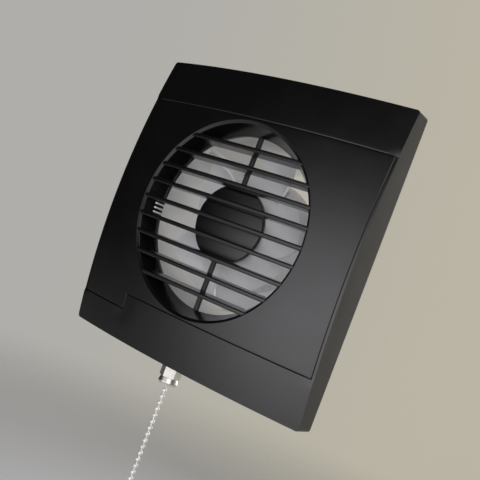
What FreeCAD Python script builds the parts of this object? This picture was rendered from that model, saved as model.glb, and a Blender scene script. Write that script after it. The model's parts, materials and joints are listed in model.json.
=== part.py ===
"""Square wall exhaust fan for a 100 mm duct, with a domed grille front and a pull-chain switch.

Millimetres. The viewer looks along +Y at the front, +X is to the viewer's right and +Z is up.
The origin is on the duct axis, in the plane of the wall that the fan is screwed to.
"""
import FreeCAD, Part
import Sketcher
import math
import os
import re

Vector = FreeCAD.Vector
Rotation = FreeCAD.Rotation
Placement = FreeCAD.Placement

# Driving dimensions, in groups that follow the pieces.
SIZES = {
    # Front: a square with a spherical face.
    "panel_margin": 31.5,
    "front_depth": 26.5,
    "corner_depth": 10.3,
    "cover_wall": 2.2,
    "cover_corner": 1.6,
    "cover_edge": 0.6,
    # Seams between the bands of the frame and the middle panel.
    "seam_margin_top": 2.4,
    "seam_margin_low": 2.2,
    "tab_drop": 8.4,
    "tab_right_edge": 41.0,
    "panel_step": 0.5,
    "panel_gap": 0.3,
    "panel_skin": 2.0,
    "side_lip": 1.3,
    "ledge_reach": 2.6,
    "ledge_skin": 1.6,
    "ledge_gap": 0.2,
    # Opening, throat and slats.
    "throat_radius": 47.5,
    "throat_flare": 4.7,
    "throat_back": 12.7,
    "throat_wall": 1.6,
    "slat_pitch": 9.72,
    "slat_thickness": 2.3,
    "slat_depth": 10.0,
    "rim_bevel": 1.0,
    "key_width": 0.9,
    "key_length": 3.4,
    "key_pitch": 2.4,
    "key_start": 2.5,
    "key_clearance": 0.15,
    # Guard behind the slats.
    "guard_ring": 2.2,
    "guard_flange": 3.2,
    "guard_disc_radius": 21.2,
    "guard_disc_front": 13.6,
    "guard_disc_depth": 3.8,
    "guard_skin": 1.6,
    "guard_arm_width": 2.3,
    # Base plate and skirt of the housing.
    "skirt_gap": 0.4,
    "skirt_wall": 2.0,
    "skirt_height": 7.3,
    "plate_skin": 2.4,
    "screw_inset": 11.0,
    "screw_hole": 4.6,
    "catch_place": 16.0,
    "catch_length": 12.0,
    "catch_height": 1.8,
    "catch_front": 5.4,
    "catch_bite": 0.9,
    "catch_clearance": 0.3,
    # Duct tube, with a step and a flange that seat it in the base plate.
    "spigot_wall": 2.0,
    "spigot_length": 58.0,
    "collar_step": 0.5,
    "collar_flange": 1.6,
    "strut_clearance": 0.05,
    "strut_width": 3.0,
    "strut_inset": 6.0,
    "strut_length": 18.0,
    # Wire channel in the duct wall.
    "channel_depth": 2.3,
    "channel_width": 6.4,
    "channel_groove": 3.0,
    "channel_tail": 2.0,
    "wire_radius": 1.1,
    "wire_clearance": 0.3,
    "wire_bend": 2.4,
    "wire_layer_gap": 0.1,
    "lead_start_run": 5.0,
    "lead_end_run": 26.0,
    "lead_lane_top": 22.0,
    "lead_lane_low": 38.0,
    # Motor pod and motor.
    "pod_radius": 23.0,
    "pod_wall": 1.8,
    "pod_gap": 2.0,
    "pod_end_space": 8.5,
    "pod_seat": 2.6,
    "bearing_radius": 4.0,
    "bearing_length": 6.0,
    "bearing_boss": 2.2,
    "bearing_inset": 0.6,
    "fit_clearance": 0.02,
    "running_clearance": 0.03,
    "shaft_radius": 2.0,
    "shaft_front": 6.2,
    "shaft_inset": 0.2,
    "stator_gap": 0.2,
    "stator_inset": 9.5,
    "stator_length": 10.0,
    "air_gap": 0.3,
    "end_ring_length": 2.0,
    "coil_clearance": 0.2,
    "washer_radius": 4.2,
    "washer_thickness": 0.8,
    "washer_gap": 0.1,
    "cap_skin": 2.5,
    "cap_lip": 2.4,
    "cap_clearance": 0.15,
    "ear_offset": 2.2,
    "ear_radius": 2.9,
    "ear_length": 14.0,
    "screw_radius": 1.2,
    "screw_head_radius": 2.2,
    "screw_head_height": 1.6,
    "screw_length": 7.0,
    "screw_clearance": 0.05,
    # Impeller: a hub that widens like a cone from its nose to its shoulder.
    "hub_radius": 32.3,
    "hub_nose_radius": 19.5,
    "hub_shoulder": 6.0,
    "hub_wall": 1.8,
    "hub_front": 7.0,
    "hub_back": 22.0,
    "hub_boss_back": 12.0,
    "hub_recess_radius": 6.0,
    "hub_recess_depth": 4.0,
    "tip_clearance": 3.5,
    "blade_root_plane": 17.0,
    "blade_trim": 1.0,
    "blade_thickness": 1.5,
    "blade_root_chord": 24.0,
    "blade_tip_chord": 42.0,
    "blade_root_camber": 3.4,
    "blade_tip_camber": 3.0,
    "blade_middle": 7.5,
    "impeller_nut_flats": 7.0,
    "impeller_nut_height": 3.0,
    # Terminal block, on the diagonal towards the upper left corner.
    "terminal_gap": 22.5,
    "terminal_long": 24.0,
    "terminal_wide": 11.0,
    "terminal_tall": 10.0,
    "terminal_pitch": 7.2,
    "terminal_well": 2.0,
    "terminal_well_depth": 5.0,
    "terminal_screw_radius": 1.8,
    "terminal_screw_height": 2.4,
    "terminal_slot": 0.6,
    # Cable hole, grommet and clamp.
    "cable_place": 8.0,
    "cable_hole": 5.0,
    "grommet_bore": 3.5,
    "grommet_flange": 7.5,
    "grommet_flange_skin": 1.5,
    "grommet_clearance": 0.1,
    "clamp_place": 24.0,
    "clamp_spacing": 14.0,
    "clamp_bar_width": 6.0,
    "clamp_bar_skin": 2.2,
    "clamp_boss_radius": 2.6,
    "clamp_boss_height": 6.0,
    # Pull switch under the lower edge.
    "switch_place": 2.2,
    "switch_wide": 22.0,
    "switch_front_gap": 0.8,
    "switch_tall": 16.2,
    "switch_seat_gap": 0.1,
    "switch_tab_wide": 26.0,
    "switch_cavity": 3.2,
    "switch_roof": 1.6,
    "bush_radius": 4.0,
    "bush_bore": 2.1,
    "bush_seat": 4.0,
    "bush_end": 7.5,
    "bush_clearance": 0.2,
    "switch_nut_flats": 10.0,
    "switch_nut_height": 6.2,
    "mouth_top_radius": 4.7,
    "mouth_lip_radius": 5.3,
    "mouth_lip_drop": 2.5,
    "mouth_height": 3.7,
    "mouth_flare": 3.4,
    "plunger_head_radius": 2.9,
    "plunger_head_height": 2.5,
    "plunger_head_gap": 0.5,
    "plunger_stem_radius": 1.5,
    "plunger_stem_length": 14.0,
    # Chain and its pull.
    "chain_radius": 1.3,
    "chain_end": 134.0,
    "bell_radius": 3.3,
    "bell_top_radius": 1.7,
    "bell_height": 14.0,
    # Reach of every cutting tool past the faces that it opens.
    "overrun": 2.0,
}

# Parts of the motor as shares of the radius of its pod, and of its rotor.
ROTOR_SHARE = 0.435
YOKE_SHARE = 0.152
SHOE_DEPTH_SHARE = 0.122
COIL_DEPTH_SHARE = 0.113
COIL_BUILD_SHARE = 0.087
POLE_SHARE = 0.7
POLE_SHOE_SHARE = 1.3
END_RING_SHARE = 0.35

# Sizes that follow from the driving ones, written to the sheet as formulas.
LINKED = {
    "opening_radius": "throat_radius + throat_flare",
    "seam_top": "opening_radius + seam_margin_top",
    "seam_bottom": "opening_radius + seam_margin_low",
    "panel_width": "2 * (throat_radius + panel_margin)",
    "dome_rise": "front_depth - corner_depth",
    "dome_radius": "(panel_width^2 / 2 + dome_rise^2) / (2 * dome_rise)",
    "edge_depth": "front_depth - dome_radius + sqrt(dome_radius^2 - (panel_width / 2)^2)",
    "spigot_radius": "throat_radius + spigot_wall",
    "channel_inner": "throat_radius - channel_depth",
    "blade_tip_radius": "throat_radius - tip_clearance",
    "screw_spacing": "panel_width - 2 * screw_inset",
    "skirt_inside": "panel_width / 2 - cover_wall - skirt_gap - skirt_wall",
    "cable_height": "(spigot_radius + skirt_inside) / 2",
    "terminal_place": "spigot_radius + terminal_gap",
    "pod_front": "hub_back + pod_gap",
    "strut_front": "pod_front + strut_inset",
    "strut_back": "strut_front + strut_length",
    "channel_end": "strut_front + channel_tail",
    "stator_front": "pod_front + stator_inset",
    "pod_back": "stator_front + stator_length + pod_end_space",
    "shaft_back": "pod_back - shaft_inset",
    "ear_place": "pod_radius + ear_offset",
    "stator_radius": "pod_radius - pod_wall - stator_gap",
    "stator_yoke": f"pod_radius * {YOKE_SHARE}",
    "yoke_inside": "stator_radius - stator_yoke",
    "rotor_radius": f"pod_radius * {ROTOR_SHARE}",
    "stator_bore": "rotor_radius + air_gap",
    "pole_shoe_depth": f"pod_radius * {SHOE_DEPTH_SHARE}",
    "coil_depth": f"pod_radius * {COIL_DEPTH_SHARE}",
    "coil_build": f"pod_radius * {COIL_BUILD_SHARE}",
    "end_ring_wall": f"rotor_radius * {END_RING_SHARE}",
    "pole_width": f"rotor_radius * {POLE_SHARE}",
    "pole_shoe_width": f"rotor_radius * {POLE_SHOE_SHARE}",
    "switch_deep": "edge_depth - cover_wall - switch_front_gap - plate_skin - switch_seat_gap",
    "switch_depth": "plate_skin + switch_seat_gap + switch_deep / 2",
    "switch_tab_height": "switch_depth + switch_deep / 2 - switch_seat_gap",
}

SLAT_COUNT = 9
BLADE_COUNT = 5
STRUT_COUNT = 4
POLE_COUNT = 4
TERMINAL_COUNT = 3
KEY_COUNT = 3
BLADE_ROOT_PITCH = 46.0
BLADE_TIP_PITCH = 24.0
BLADE_TIP_SWEEP = 22.0
CHANNEL_ANGLE = 135.0
EDGE_ALONG_SHARE = 0.9
TUBE_VOLUME_SHARE = 0.01

DOC = FreeCAD.newDocument("ExhaustFan")
SHEET = DOC.addObject("Spreadsheet::Sheet", "Sizes")
NAME = re.compile(r"[a-z_]+")

# Places and sizes that several pieces share, written in the named sizes.
HALF = "panel_width / 2"
FACE = "(dome_radius - panel_step)"
RIM_DEPTH = f"(front_depth - dome_radius + sqrt({FACE}^2 - opening_radius^2))"
THROAT_SLOPE = f"((opening_radius - throat_radius) / ({RIM_DEPTH} - throat_back))"
COLLAR_FRONT = "(throat_back - guard_ring)"
COLLAR = "(spigot_radius + collar_step)"
PLATE_HALF = "(panel_width / 2 - cover_wall - skirt_gap)"
DIAGONAL = "sqrt(0.5)"
WIRE_LAYER = "(plate_skin + wire_layer_gap + wire_radius)"
WIRE_CHANNEL = "(channel_inner + pod_wall / 2 + wire_clearance + wire_radius)"
WIRE_TURN = "(strut_front - wire_clearance - wire_radius)"
STATOR_BACK = "(stator_front + stator_length)"
COIL_INSIDE = "(stator_bore + pole_shoe_depth + coil_clearance)"
REAR_BEARING = "(pod_back - bearing_length + bearing_inset)"
SWITCH_FLOOR = "(skirt_inside - switch_seat_gap)"
SWITCH_TOP = f"({SWITCH_FLOOR} - switch_tall)"
BUSH_TOP = f"({SWITCH_FLOOR} - bush_seat)"
NUT_END = "(panel_width / 2 + switch_nut_height)"
PLUNGER_TOP = f"({SWITCH_TOP} + switch_roof + plunger_head_gap)"
CHAIN_TOP = f"({PLUNGER_TOP} + plunger_head_height + plunger_stem_length)"
CHAIN_END = f"({NUT_END} + mouth_height + chain_end)"


def fill_sheet():
    """Writes each dimension to its own cell, with its name as the alias."""
    cells = {alias: str(size) for alias, size in SIZES.items()}
    cells.update({alias: f"={rule}" for alias, rule in LINKED.items()})
    for row, (alias, content) in enumerate(cells.items(), start=1):
        SHEET.set(f"A{row}", alias.replace("_", " "))
        SHEET.set(f"B{row}", content)
        SHEET.setAlias(f"B{row}", alias)
        DOC.recompute()


def tied(text):
    """Returns an expression in which each named size points at its cell."""
    known = {**SIZES, **LINKED}
    return NAME.sub(lambda word: f"Sizes.{word.group()}" if word.group() in known else word.group(), text)


def value(text):
    """Returns the number that an expression in named sizes has now."""
    return float(SHEET.evalExpression(tied(text)))


def bind(item, **rules):
    """Ties properties to the sheet; a double underscore in a name stands for a dot."""
    for name, text in rules.items():
        item.setExpression(name.replace("__", "."), tied(text))


def place(item, x="0", y="0", z="0"):
    """Ties the position of an object to the sheet."""
    bind(item, Placement__Base__x=x, Placement__Base__y=y, Placement__Base__z=z)


def box(name, lengths, corner):
    """Returns a block from its lengths along X, Y and Z and its lowest corner."""
    block = DOC.addObject("Part::Box", name)
    bind(block, Length=lengths[0], Width=lengths[1], Height=lengths[2])
    place(block, *corner)
    return block


def cylinder(name, radius, length, start, axis=Vector(0, 0, 1)):
    """Returns a cylinder that runs from its start along an axis."""
    rod = DOC.addObject("Part::Cylinder", name)
    rod.Placement = Placement(Vector(), Rotation(Vector(0, 0, 1), axis))
    bind(rod, Radius=radius, Height=length)
    place(rod, *start)
    return rod


def dome(name, drop):
    """Returns the sphere whose front lies a drop behind the domed face."""
    ball = DOC.addObject("Part::Sphere", name)
    bind(ball, Radius=f"dome_radius - ({drop})")
    place(ball, y="dome_radius - front_depth")
    return ball


def fuse(name, items):
    """Returns the union of several objects."""
    whole = DOC.addObject("Part::MultiFuse", name)
    whole.Shapes = items
    return whole


def common(name, items):
    """Returns what several objects share."""
    shared = DOC.addObject("Part::MultiCommon", name)
    shared.Shapes = items
    return shared


def cut(name, base, tools):
    """Returns a base with several tools taken away from it."""
    rest = DOC.addObject("Part::Cut", name)
    rest.Base = base
    rest.Tool = tools[0] if len(tools) == 1 else fuse(f"{name}_tools", tools)
    return rest


def label(item, name):
    """Names the object that becomes a part file."""
    item.Label = name
    PIECES.append(item)
    return item


def new_body(name):
    """Returns an empty solid body."""
    return DOC.addObject("PartDesign::Body", name)


def sketch_on(body, name, role, offset="0"):
    """Returns a sketch on one of the body's own origin planes, moved along that plane's normal."""
    sketch = body.newObject("Sketcher::SketchObject", name)
    plane = next(item for item in body.Origin.OriginFeatures if item.Role == role)
    sketch.AttachmentSupport = [(plane, "")]
    sketch.MapMode = "FlatFace"
    bind(sketch, AttachmentOffset__Base__z=offset)
    return sketch


def tie_point(sketch, geometry, point, x, y):
    """Ties one point of a sketch to the sheet, measured from the sketch's origin."""
    for kind, text in (("DistanceX", x), ("DistanceY", y)):
        rule = Sketcher.Constraint(kind, -1, 1, geometry, point, value(text))
        index = sketch.addConstraint(rule)
        sketch.setExpression(f"Constraints[{index}]", tied(text))


def add_outline(sketch, corners):
    """Adds a closed outline of straight edges whose corners are tied to the sheet."""
    spots = [Vector(value(x), value(y), 0) for x, y in corners]
    first = sketch.GeometryCount
    count = len(spots)
    for index, spot in enumerate(spots):
        sketch.addGeometry(Part.LineSegment(spot, spots[(index + 1) % count]))
    for index in range(count):
        following = first + (index + 1) % count
        sketch.addConstraint(Sketcher.Constraint("Coincident", first + index, 2, following, 1))
    for index, (x, y) in enumerate(corners):
        tie_point(sketch, first + index, 1, x, y)


def add_circle(sketch, radius, x="0", y="0"):
    """Adds a circle whose centre and radius are tied to the sheet."""
    centre = Vector(value(x), value(y), 0)
    index = sketch.addGeometry(Part.Circle(centre, Vector(0, 0, 1), value(radius)))
    tie_point(sketch, index, 3, x, y)
    rule = sketch.addConstraint(Sketcher.Constraint("Radius", index, value(radius)))
    sketch.setExpression(f"Constraints[{rule}]", tied(radius))


def rectangle(x_from, x_to, z_from, z_to):
    """Returns the corners of a rectangle."""
    return [(x_from, z_from), (x_to, z_from), (x_to, z_to), (x_from, z_to)]


def square(half):
    """Returns the corners of a square about the axis."""
    return rectangle(f"-({half})", half, f"-({half})", half)


def pad(body, name, start, length, outlines=(), circles=(), role="XZ_Plane"):
    """Pads flat outlines along the plane's normal, which on XZ_Plane points at the viewer."""
    sketch = sketch_on(body, f"{name}_outline", role, start)
    for corners in outlines:
        add_outline(sketch, corners)
    for circle in circles:
        add_circle(sketch, *circle)
    raised = body.newObject("PartDesign::Pad", name)
    raised.Profile = sketch
    bind(raised, Length=length)
    body.Tip = raised
    DOC.recompute()
    return raised


def turn(body, name, corners, role="XY_Plane"):
    """Turns a closed outline about the upright axis of its sketch."""
    sketch = sketch_on(body, f"{name}_outline", role)
    add_outline(sketch, corners)
    turned = body.newObject("PartDesign::Revolution", name)
    turned.Profile = sketch
    turned.ReferenceAxis = (sketch, ["V_Axis"])
    turned.Angle = 360
    body.Tip = turned
    DOC.recompute()
    return turned


def polar(body, name, feature, count):
    """Repeats a feature about the duct axis."""
    pattern = body.newObject("PartDesign::PolarPattern", name)
    axis = next(item for item in body.Origin.OriginFeatures if item.Role == "Y_Axis")
    pattern.Originals = [feature]
    pattern.Axis = (axis, [""])
    pattern.Angle = 360
    pattern.Occurrences = count
    body.Tip = pattern
    DOC.recompute()
    return pattern


def diagonal(along, across):
    """Returns the place of a point on the upper left diagonal, in the plane of the plate."""
    x = f"(-({along}) - ({across})) * {DIAGONAL}"
    z = f"(({along}) - ({across})) * {DIAGONAL}"
    return x, z


def diagonal_rectangle(along_from, along_to, half):
    """Returns the corners of a rectangle that lies along the upper left diagonal."""
    ends = [(along_from, half), (along_to, half), (along_to, f"-({half})"), (along_from, f"-({half})")]
    return [diagonal(along, across) for along, across in ends]


def rounded_path(points, radius):
    """Returns a wire of straight runs joined by tangent arcs."""
    edges = []
    start = points[0]
    for before, corner, after in zip(points, points[1:], points[2:]):
        into = (corner - before).normalize()
        away = (after - corner).normalize()
        half_turn = into.getAngle(away) / 2
        reach = radius * math.tan(half_turn)
        arc_start = corner - into * reach
        arc_end = corner + away * reach
        inward = (away - into).normalize()
        middle = corner + inward * (radius / math.cos(half_turn) - radius)
        edges.append(Part.makeLine(start, arc_start))
        edges.append(Part.Arc(arc_start, middle, arc_end).toShape())
        start = arc_end
    edges.append(Part.makeLine(start, points[-1]))
    return Part.Wire(edges)


def wire_along(name, path, radius):
    """Returns a round wire along a path, once its volume agrees with its length."""
    first = path.Edges[0]
    heading = first.tangentAt(first.FirstParameter)
    section = Part.Wire(Part.makeCircle(radius, first.valueAt(first.FirstParameter), heading))
    solid = path.makePipeShell([section], True, True)
    expected = math.pi * radius ** 2 * path.Length
    if abs(solid.Volume / expected - 1) > TUBE_VOLUME_SHARE:
        raise ValueError(f"{name} is not a clean tube")
    wire = DOC.addObject("Part::Feature", f"{name}_wire")
    wire.Shape = solid
    return wire


def band_block():
    """Returns the square block under the domed face, with its corners and front edge rounded."""
    block = box(
        "front_block",
        ("panel_width", "front_depth + overrun", "panel_width"),
        (f"-{HALF}", "-(front_depth + overrun)", f"-{HALF}"),
    )
    DOC.recompute()
    upright = DOC.addObject("Part::Fillet", "front_corners")
    upright.Base = block
    radius = value("cover_corner")
    upright.Edges = [
        (index, radius, radius)
        for index, edge in enumerate(block.Shape.Edges, start=1)
        if abs(edge.tangentAt(0).y) > EDGE_ALONG_SHARE
    ]
    shaped = common("front_dome_block", [upright, dome("front_dome", "0")])
    DOC.recompute()
    rounded = DOC.addObject("Part::Fillet", "front_edge")
    rounded.Base = shaped
    radius = value("cover_edge")
    rounded.Edges = [
        (index, radius, radius)
        for index, edge in enumerate(shaped.Shape.Edges, start=1)
        if edge.BoundBox.YMax < -value("corner_depth / 2") and edge.BoundBox.YLength < value("corner_depth")
    ]
    DOC.recompute()
    return rounded


def panel_outline(gap):
    """Returns the outline of the middle panel, with its tab at the lower left, less a gap all round."""
    left = f"-({HALF} - side_lip - ({gap}))"
    right = f"{HALF} - side_lip - ({gap})"
    top = f"seam_top - ({gap})"
    low = f"-(seam_bottom - ({gap}))"
    tab = f"-(seam_bottom + tab_drop - ({gap}))"
    corner = f"-(tab_right_edge + ({gap}))"
    return [(left, tab), (corner, tab), (corner, low), (right, low), (right, top), (left, top)]


def panel_prism(name, gap):
    """Returns the prism of the middle panel's outline, from the wall to past the face."""
    body = new_body(name)
    pad(body, f"{name}_pad", "0", "front_depth + overrun", [panel_outline(gap)])
    return body


def build_cover_frame():
    """Outer frame: four walls, a top and a bottom band, and a ledge that carries the middle panel."""
    inner_half = f"({HALF} - cover_wall)"
    hollow_block = box(
        "frame_hollow_block",
        (f"2 * {inner_half}", "front_depth + overrun", f"2 * {inner_half}"),
        (f"-{inner_half}", "-front_depth", f"-{inner_half}"),
    )
    hollow = common("frame_hollow", [hollow_block, dome("frame_inner_dome", "cover_wall")])
    seat_floor = dome("frame_seat_floor", "panel_step + panel_skin + ledge_gap")
    window = panel_prism("frame_window", "ledge_reach")
    ledge_block = common(
        "ledge_block",
        [
            panel_prism("ledge_prism", "-ledge_reach"),
            seat_floor,
            box(
                "ledge_limit",
                (f"2 * {inner_half} + cover_wall", "front_depth", f"2 * {inner_half} + cover_wall"),
                (f"-({inner_half} + cover_wall / 2)", "-front_depth", f"-({inner_half} + cover_wall / 2)"),
            ),
        ],
    )
    ledge_back = dome("ledge_back", "panel_step + panel_skin + ledge_gap + ledge_skin")
    seat_stop = dome("frame_seat_stop", "panel_step + panel_skin + ledge_gap")
    seat = cut("frame_seat", panel_prism("frame_seat_prism", "0"), [seat_stop])
    opened = cut("frame_opened", band_block(), [hollow, seat])
    throat_room = cylinder(
        "frame_throat_room",
        "opening_radius + throat_wall + panel_gap",
        "front_depth + overrun",
        ("0", "0", "0"),
        Vector(0, -1, 0),
    )
    ledge = cut("frame_ledge", ledge_block, [ledge_back, window, throat_room])
    catches = [
        box(
            f"catch_{side}_{level}",
            ("catch_bite + skirt_gap + cover_wall / 2", "catch_height", "catch_length"),
            (
                f"{inner_half} - catch_bite - skirt_gap" if side == "right"
                else f"-({inner_half} + cover_wall / 2)",
                "-catch_front",
                "catch_place" if level == "upper" else "-(catch_place + catch_length)",
            ),
        )
        for side in ("left", "right")
        for level in ("upper", "lower")
    ]
    joined = fuse("frame_joined", [opened, ledge] + catches)
    notch_round = cylinder(
        "notch_round",
        "bush_radius + bush_clearance",
        "cover_wall + 2 * overrun",
        ("-switch_place", "-switch_depth", f"-({HALF} + overrun)"),
    )
    notch_slot = box(
        "notch_slot",
        ("2 * (bush_radius + bush_clearance)", "switch_depth + overrun", "cover_wall + 2 * overrun"),
        ("-(switch_place + bush_radius + bush_clearance)", "-switch_depth", f"-({HALF} + overrun)"),
    )
    label(cut("cover_frame_solid", joined, [notch_round, notch_slot]), "cover_frame")


def throat_cone(name, grow):
    """Returns the cone of the throat, run past both of its ends."""
    cone = DOC.addObject("Part::Cone", name)
    cone.Placement = Placement(Vector(), Rotation(Vector(0, 0, 1), Vector(0, -1, 0)))
    bind(
        cone,
        Radius1=f"throat_radius + ({grow}) - overrun * {THROAT_SLOPE}",
        Radius2=f"throat_radius + ({grow}) + (front_depth - throat_back) * {THROAT_SLOPE}",
        Height="front_depth - throat_back + overrun",
    )
    place(cone, y="-(throat_back - overrun)")
    return cone


def rim_cone():
    """Returns the wide cone that bevels the front edge of the throat."""
    root = f"(opening_radius - rim_bevel * {THROAT_SLOPE})"
    reach = f"(front_depth - {RIM_DEPTH} + rim_bevel)"
    cone = DOC.addObject("Part::Cone", "rim_bevel_cone")
    cone.Placement = Placement(Vector(), Rotation(Vector(0, 0, 1), Vector(0, -1, 0)))
    bind(cone, Radius1=root, Radius2=f"{root} + {reach} * (1 + {THROAT_SLOPE})", Height=reach)
    place(cone, y=f"-({RIM_DEPTH} - rim_bevel)")
    return cone


def slat_block(step):
    """Returns one slat before it is trimmed: a bar whose sides point at the centre of the dome."""
    body = new_body(f"slat_{step}".replace("-", "m").replace(".", "_"))
    reach = "(opening_radius + throat_wall)"
    front_height = f"({step} * slat_pitch)"
    back_height = f"({step} * slat_pitch * (1 - front_depth / dome_radius))"
    pad(
        body,
        f"{body.Name}_pad",
        f"-{reach}",
        f"2 * {reach}",
        [[
            ("-front_depth", f"{front_height} - slat_thickness / 2"),
            ("0", f"{back_height} - slat_thickness / 2"),
            ("0", f"{back_height} + slat_thickness / 2"),
            ("-front_depth", f"{front_height} + slat_thickness / 2"),
        ]],
        role="YZ_Plane",
    )
    return body


def key_boxes(name, clearance):
    """Returns the keys that lock the duct tube to the throat, grown by a clearance.

    They stand at the left, one below the other, and reach from the collar into the throat's wall.
    """
    keys = []
    for index in range(KEY_COUNT):
        middle = f"(key_start + {index} * key_pitch)"
        wall = f"sqrt(throat_radius^2 - {middle}^2)"
        keys.append(box(
            f"{name}_{index}",
            (
                f"throat_wall + 2 * ({clearance})",
                f"key_length + guard_ring + collar_flange + ({clearance})",
                f"key_width + 2 * ({clearance})",
            ),
            (
                f"-({wall} + throat_wall + key_clearance + ({clearance}))",
                f"-(throat_back + key_length + ({clearance}))",
                f"-({middle} + key_width / 2 + ({clearance}))",
            ),
        ))
    return keys


def build_grille_panel():
    """Middle panel: a domed skin with a tapered throat and nine slats that follow the dome."""
    skin = cut(
        "panel_shell",
        common("panel_block", [panel_prism("panel_outline", "panel_gap"), dome("panel_face", "panel_step")]),
        [dome("panel_back", "panel_step + panel_skin")],
    )
    throat = new_body("throat_wall_body")
    throat_front = f"-({RIM_DEPTH} - panel_skin / 2)"
    turn(
        throat,
        "throat_wall_turned",
        [
            ("throat_radius - throat_wall", "-throat_back"),
            ("throat_radius + throat_wall", "-throat_back"),
            ("opening_radius + throat_wall", throat_front),
            ("throat_radius - throat_wall", throat_front),
        ],
    )
    slats = [slat_block(index - (SLAT_COUNT - 1) / 2) for index in range(SLAT_COUNT)]
    bars = common("slat_bars", [fuse("slat_blocks", slats), dome("slat_face", "panel_step")])
    bars = common("slat_span", [bars, throat_cone("slat_limit", "throat_wall / 2")])
    bars = cut("slat_grid", bars, [dome("slat_back", "panel_step + slat_depth")])
    voids = [throat_cone("throat_void", "0"), rim_cone()] + key_boxes("throat_slot", "key_clearance")
    holed = cut("panel_holed", fuse("panel_with_throat", [skin, throat]), voids)
    label(fuse("grille_panel_solid", [holed, bars]), "grille_panel")


def build_throat_guard():
    """Guard: a ring on the collar, an upright arm above and below, and a dished disc in the middle."""
    body = new_body("throat_guard_body")
    ring_front = f"-{COLLAR_FRONT} - guard_ring"
    turn(
        body,
        "guard_ring_turned",
        [
            ("throat_radius", f"-{COLLAR_FRONT}"),
            ("throat_radius + guard_flange", f"-{COLLAR_FRONT}"),
            ("throat_radius + guard_flange", ring_front),
            ("throat_radius", ring_front),
        ],
    )
    arm_end = "throat_radius + guard_flange / 2"
    arm_root = "guard_disc_radius - guard_skin"
    arms = [
        rectangle("-guard_arm_width / 2", "guard_arm_width / 2", arm_root, arm_end),
        rectangle("-guard_arm_width / 2", "guard_arm_width / 2", f"-({arm_end})", f"-({arm_root})"),
    ]
    pad(body, "guard_arms", COLLAR_FRONT, "guard_ring", arms)
    turn(
        body,
        "guard_disc",
        [
            ("0", "-guard_disc_front"),
            ("guard_disc_radius", "-guard_disc_front"),
            ("guard_disc_radius", "-(guard_disc_front - guard_disc_depth)"),
            ("guard_disc_radius - guard_skin", "-(guard_disc_front - guard_disc_depth)"),
            ("guard_disc_radius - guard_skin", "-(guard_disc_front - guard_skin)"),
            ("0", "-(guard_disc_front - guard_skin)"),
        ],
    )
    label(cut("throat_guard_solid", body, key_boxes("guard_slot", "key_clearance")), "throat_guard")


def build_housing():
    """Housing: base plate with a skirt, the tab of the switch and the bosses of the cable clamp."""
    body = new_body("housing_body")
    seat = f"{COLLAR} + fit_clearance"
    pad(body, "base_plate", "0", "plate_skin", [square(PLATE_HALF)], [(seat,)])
    pad(body, "base_skirt", "0", "skirt_height", [square(PLATE_HALF), square("skirt_inside")])
    pad(
        body,
        "switch_tab",
        "0",
        "switch_tab_height",
        [rectangle(
            "-(switch_place + switch_tab_wide / 2)",
            "-(switch_place - switch_tab_wide / 2)",
            f"-{PLATE_HALF}",
            "-skirt_inside",
        )],
    )
    bosses = [
        ("clamp_boss_radius", "-clamp_place", f"cable_height + ({side} * clamp_spacing / 2)")
        for side in (-1, 1)
    ]
    pad(body, "clamp_bosses", "0", "clamp_boss_height", circles=bosses)
    groove = wire_groove()
    label(cut("housing_solid", body, housing_tools() + [groove]), "housing")
    hole = lead_hole()
    build_duct_tube([groove, hole])
    build_motor_bracket(hole)


def build_duct_tube(tools):
    """Duct tube: its collar goes through the base plate, a flange stops it there; a channel for the lead."""
    body = new_body("duct_tube_body")
    turn(
        body,
        "duct_wall",
        [
            ("throat_radius", f"-{COLLAR_FRONT}"),
            (COLLAR, f"-{COLLAR_FRONT}"),
            (COLLAR, "-(plate_skin + collar_flange)"),
            (f"{COLLAR} + collar_flange", "-(plate_skin + collar_flange)"),
            (f"{COLLAR} + collar_flange", "-plate_skin"),
            (COLLAR, "-plate_skin"),
            (COLLAR, "0"),
            ("spigot_radius", "0"),
            ("spigot_radius", "spigot_length"),
            ("throat_radius", "spigot_length"),
        ],
    )
    pad(
        body,
        "wire_channel",
        "-channel_end",
        f"channel_end + {COLLAR_FRONT}",
        [diagonal_rectangle("channel_inner", "(throat_radius + spigot_radius) / 2", "channel_width / 2")],
    )
    keyed = fuse("duct_tube_keyed", [body] + key_boxes("duct_key", "0"))
    label(cut("duct_tube_solid", keyed, tools), "duct_tube")


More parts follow.
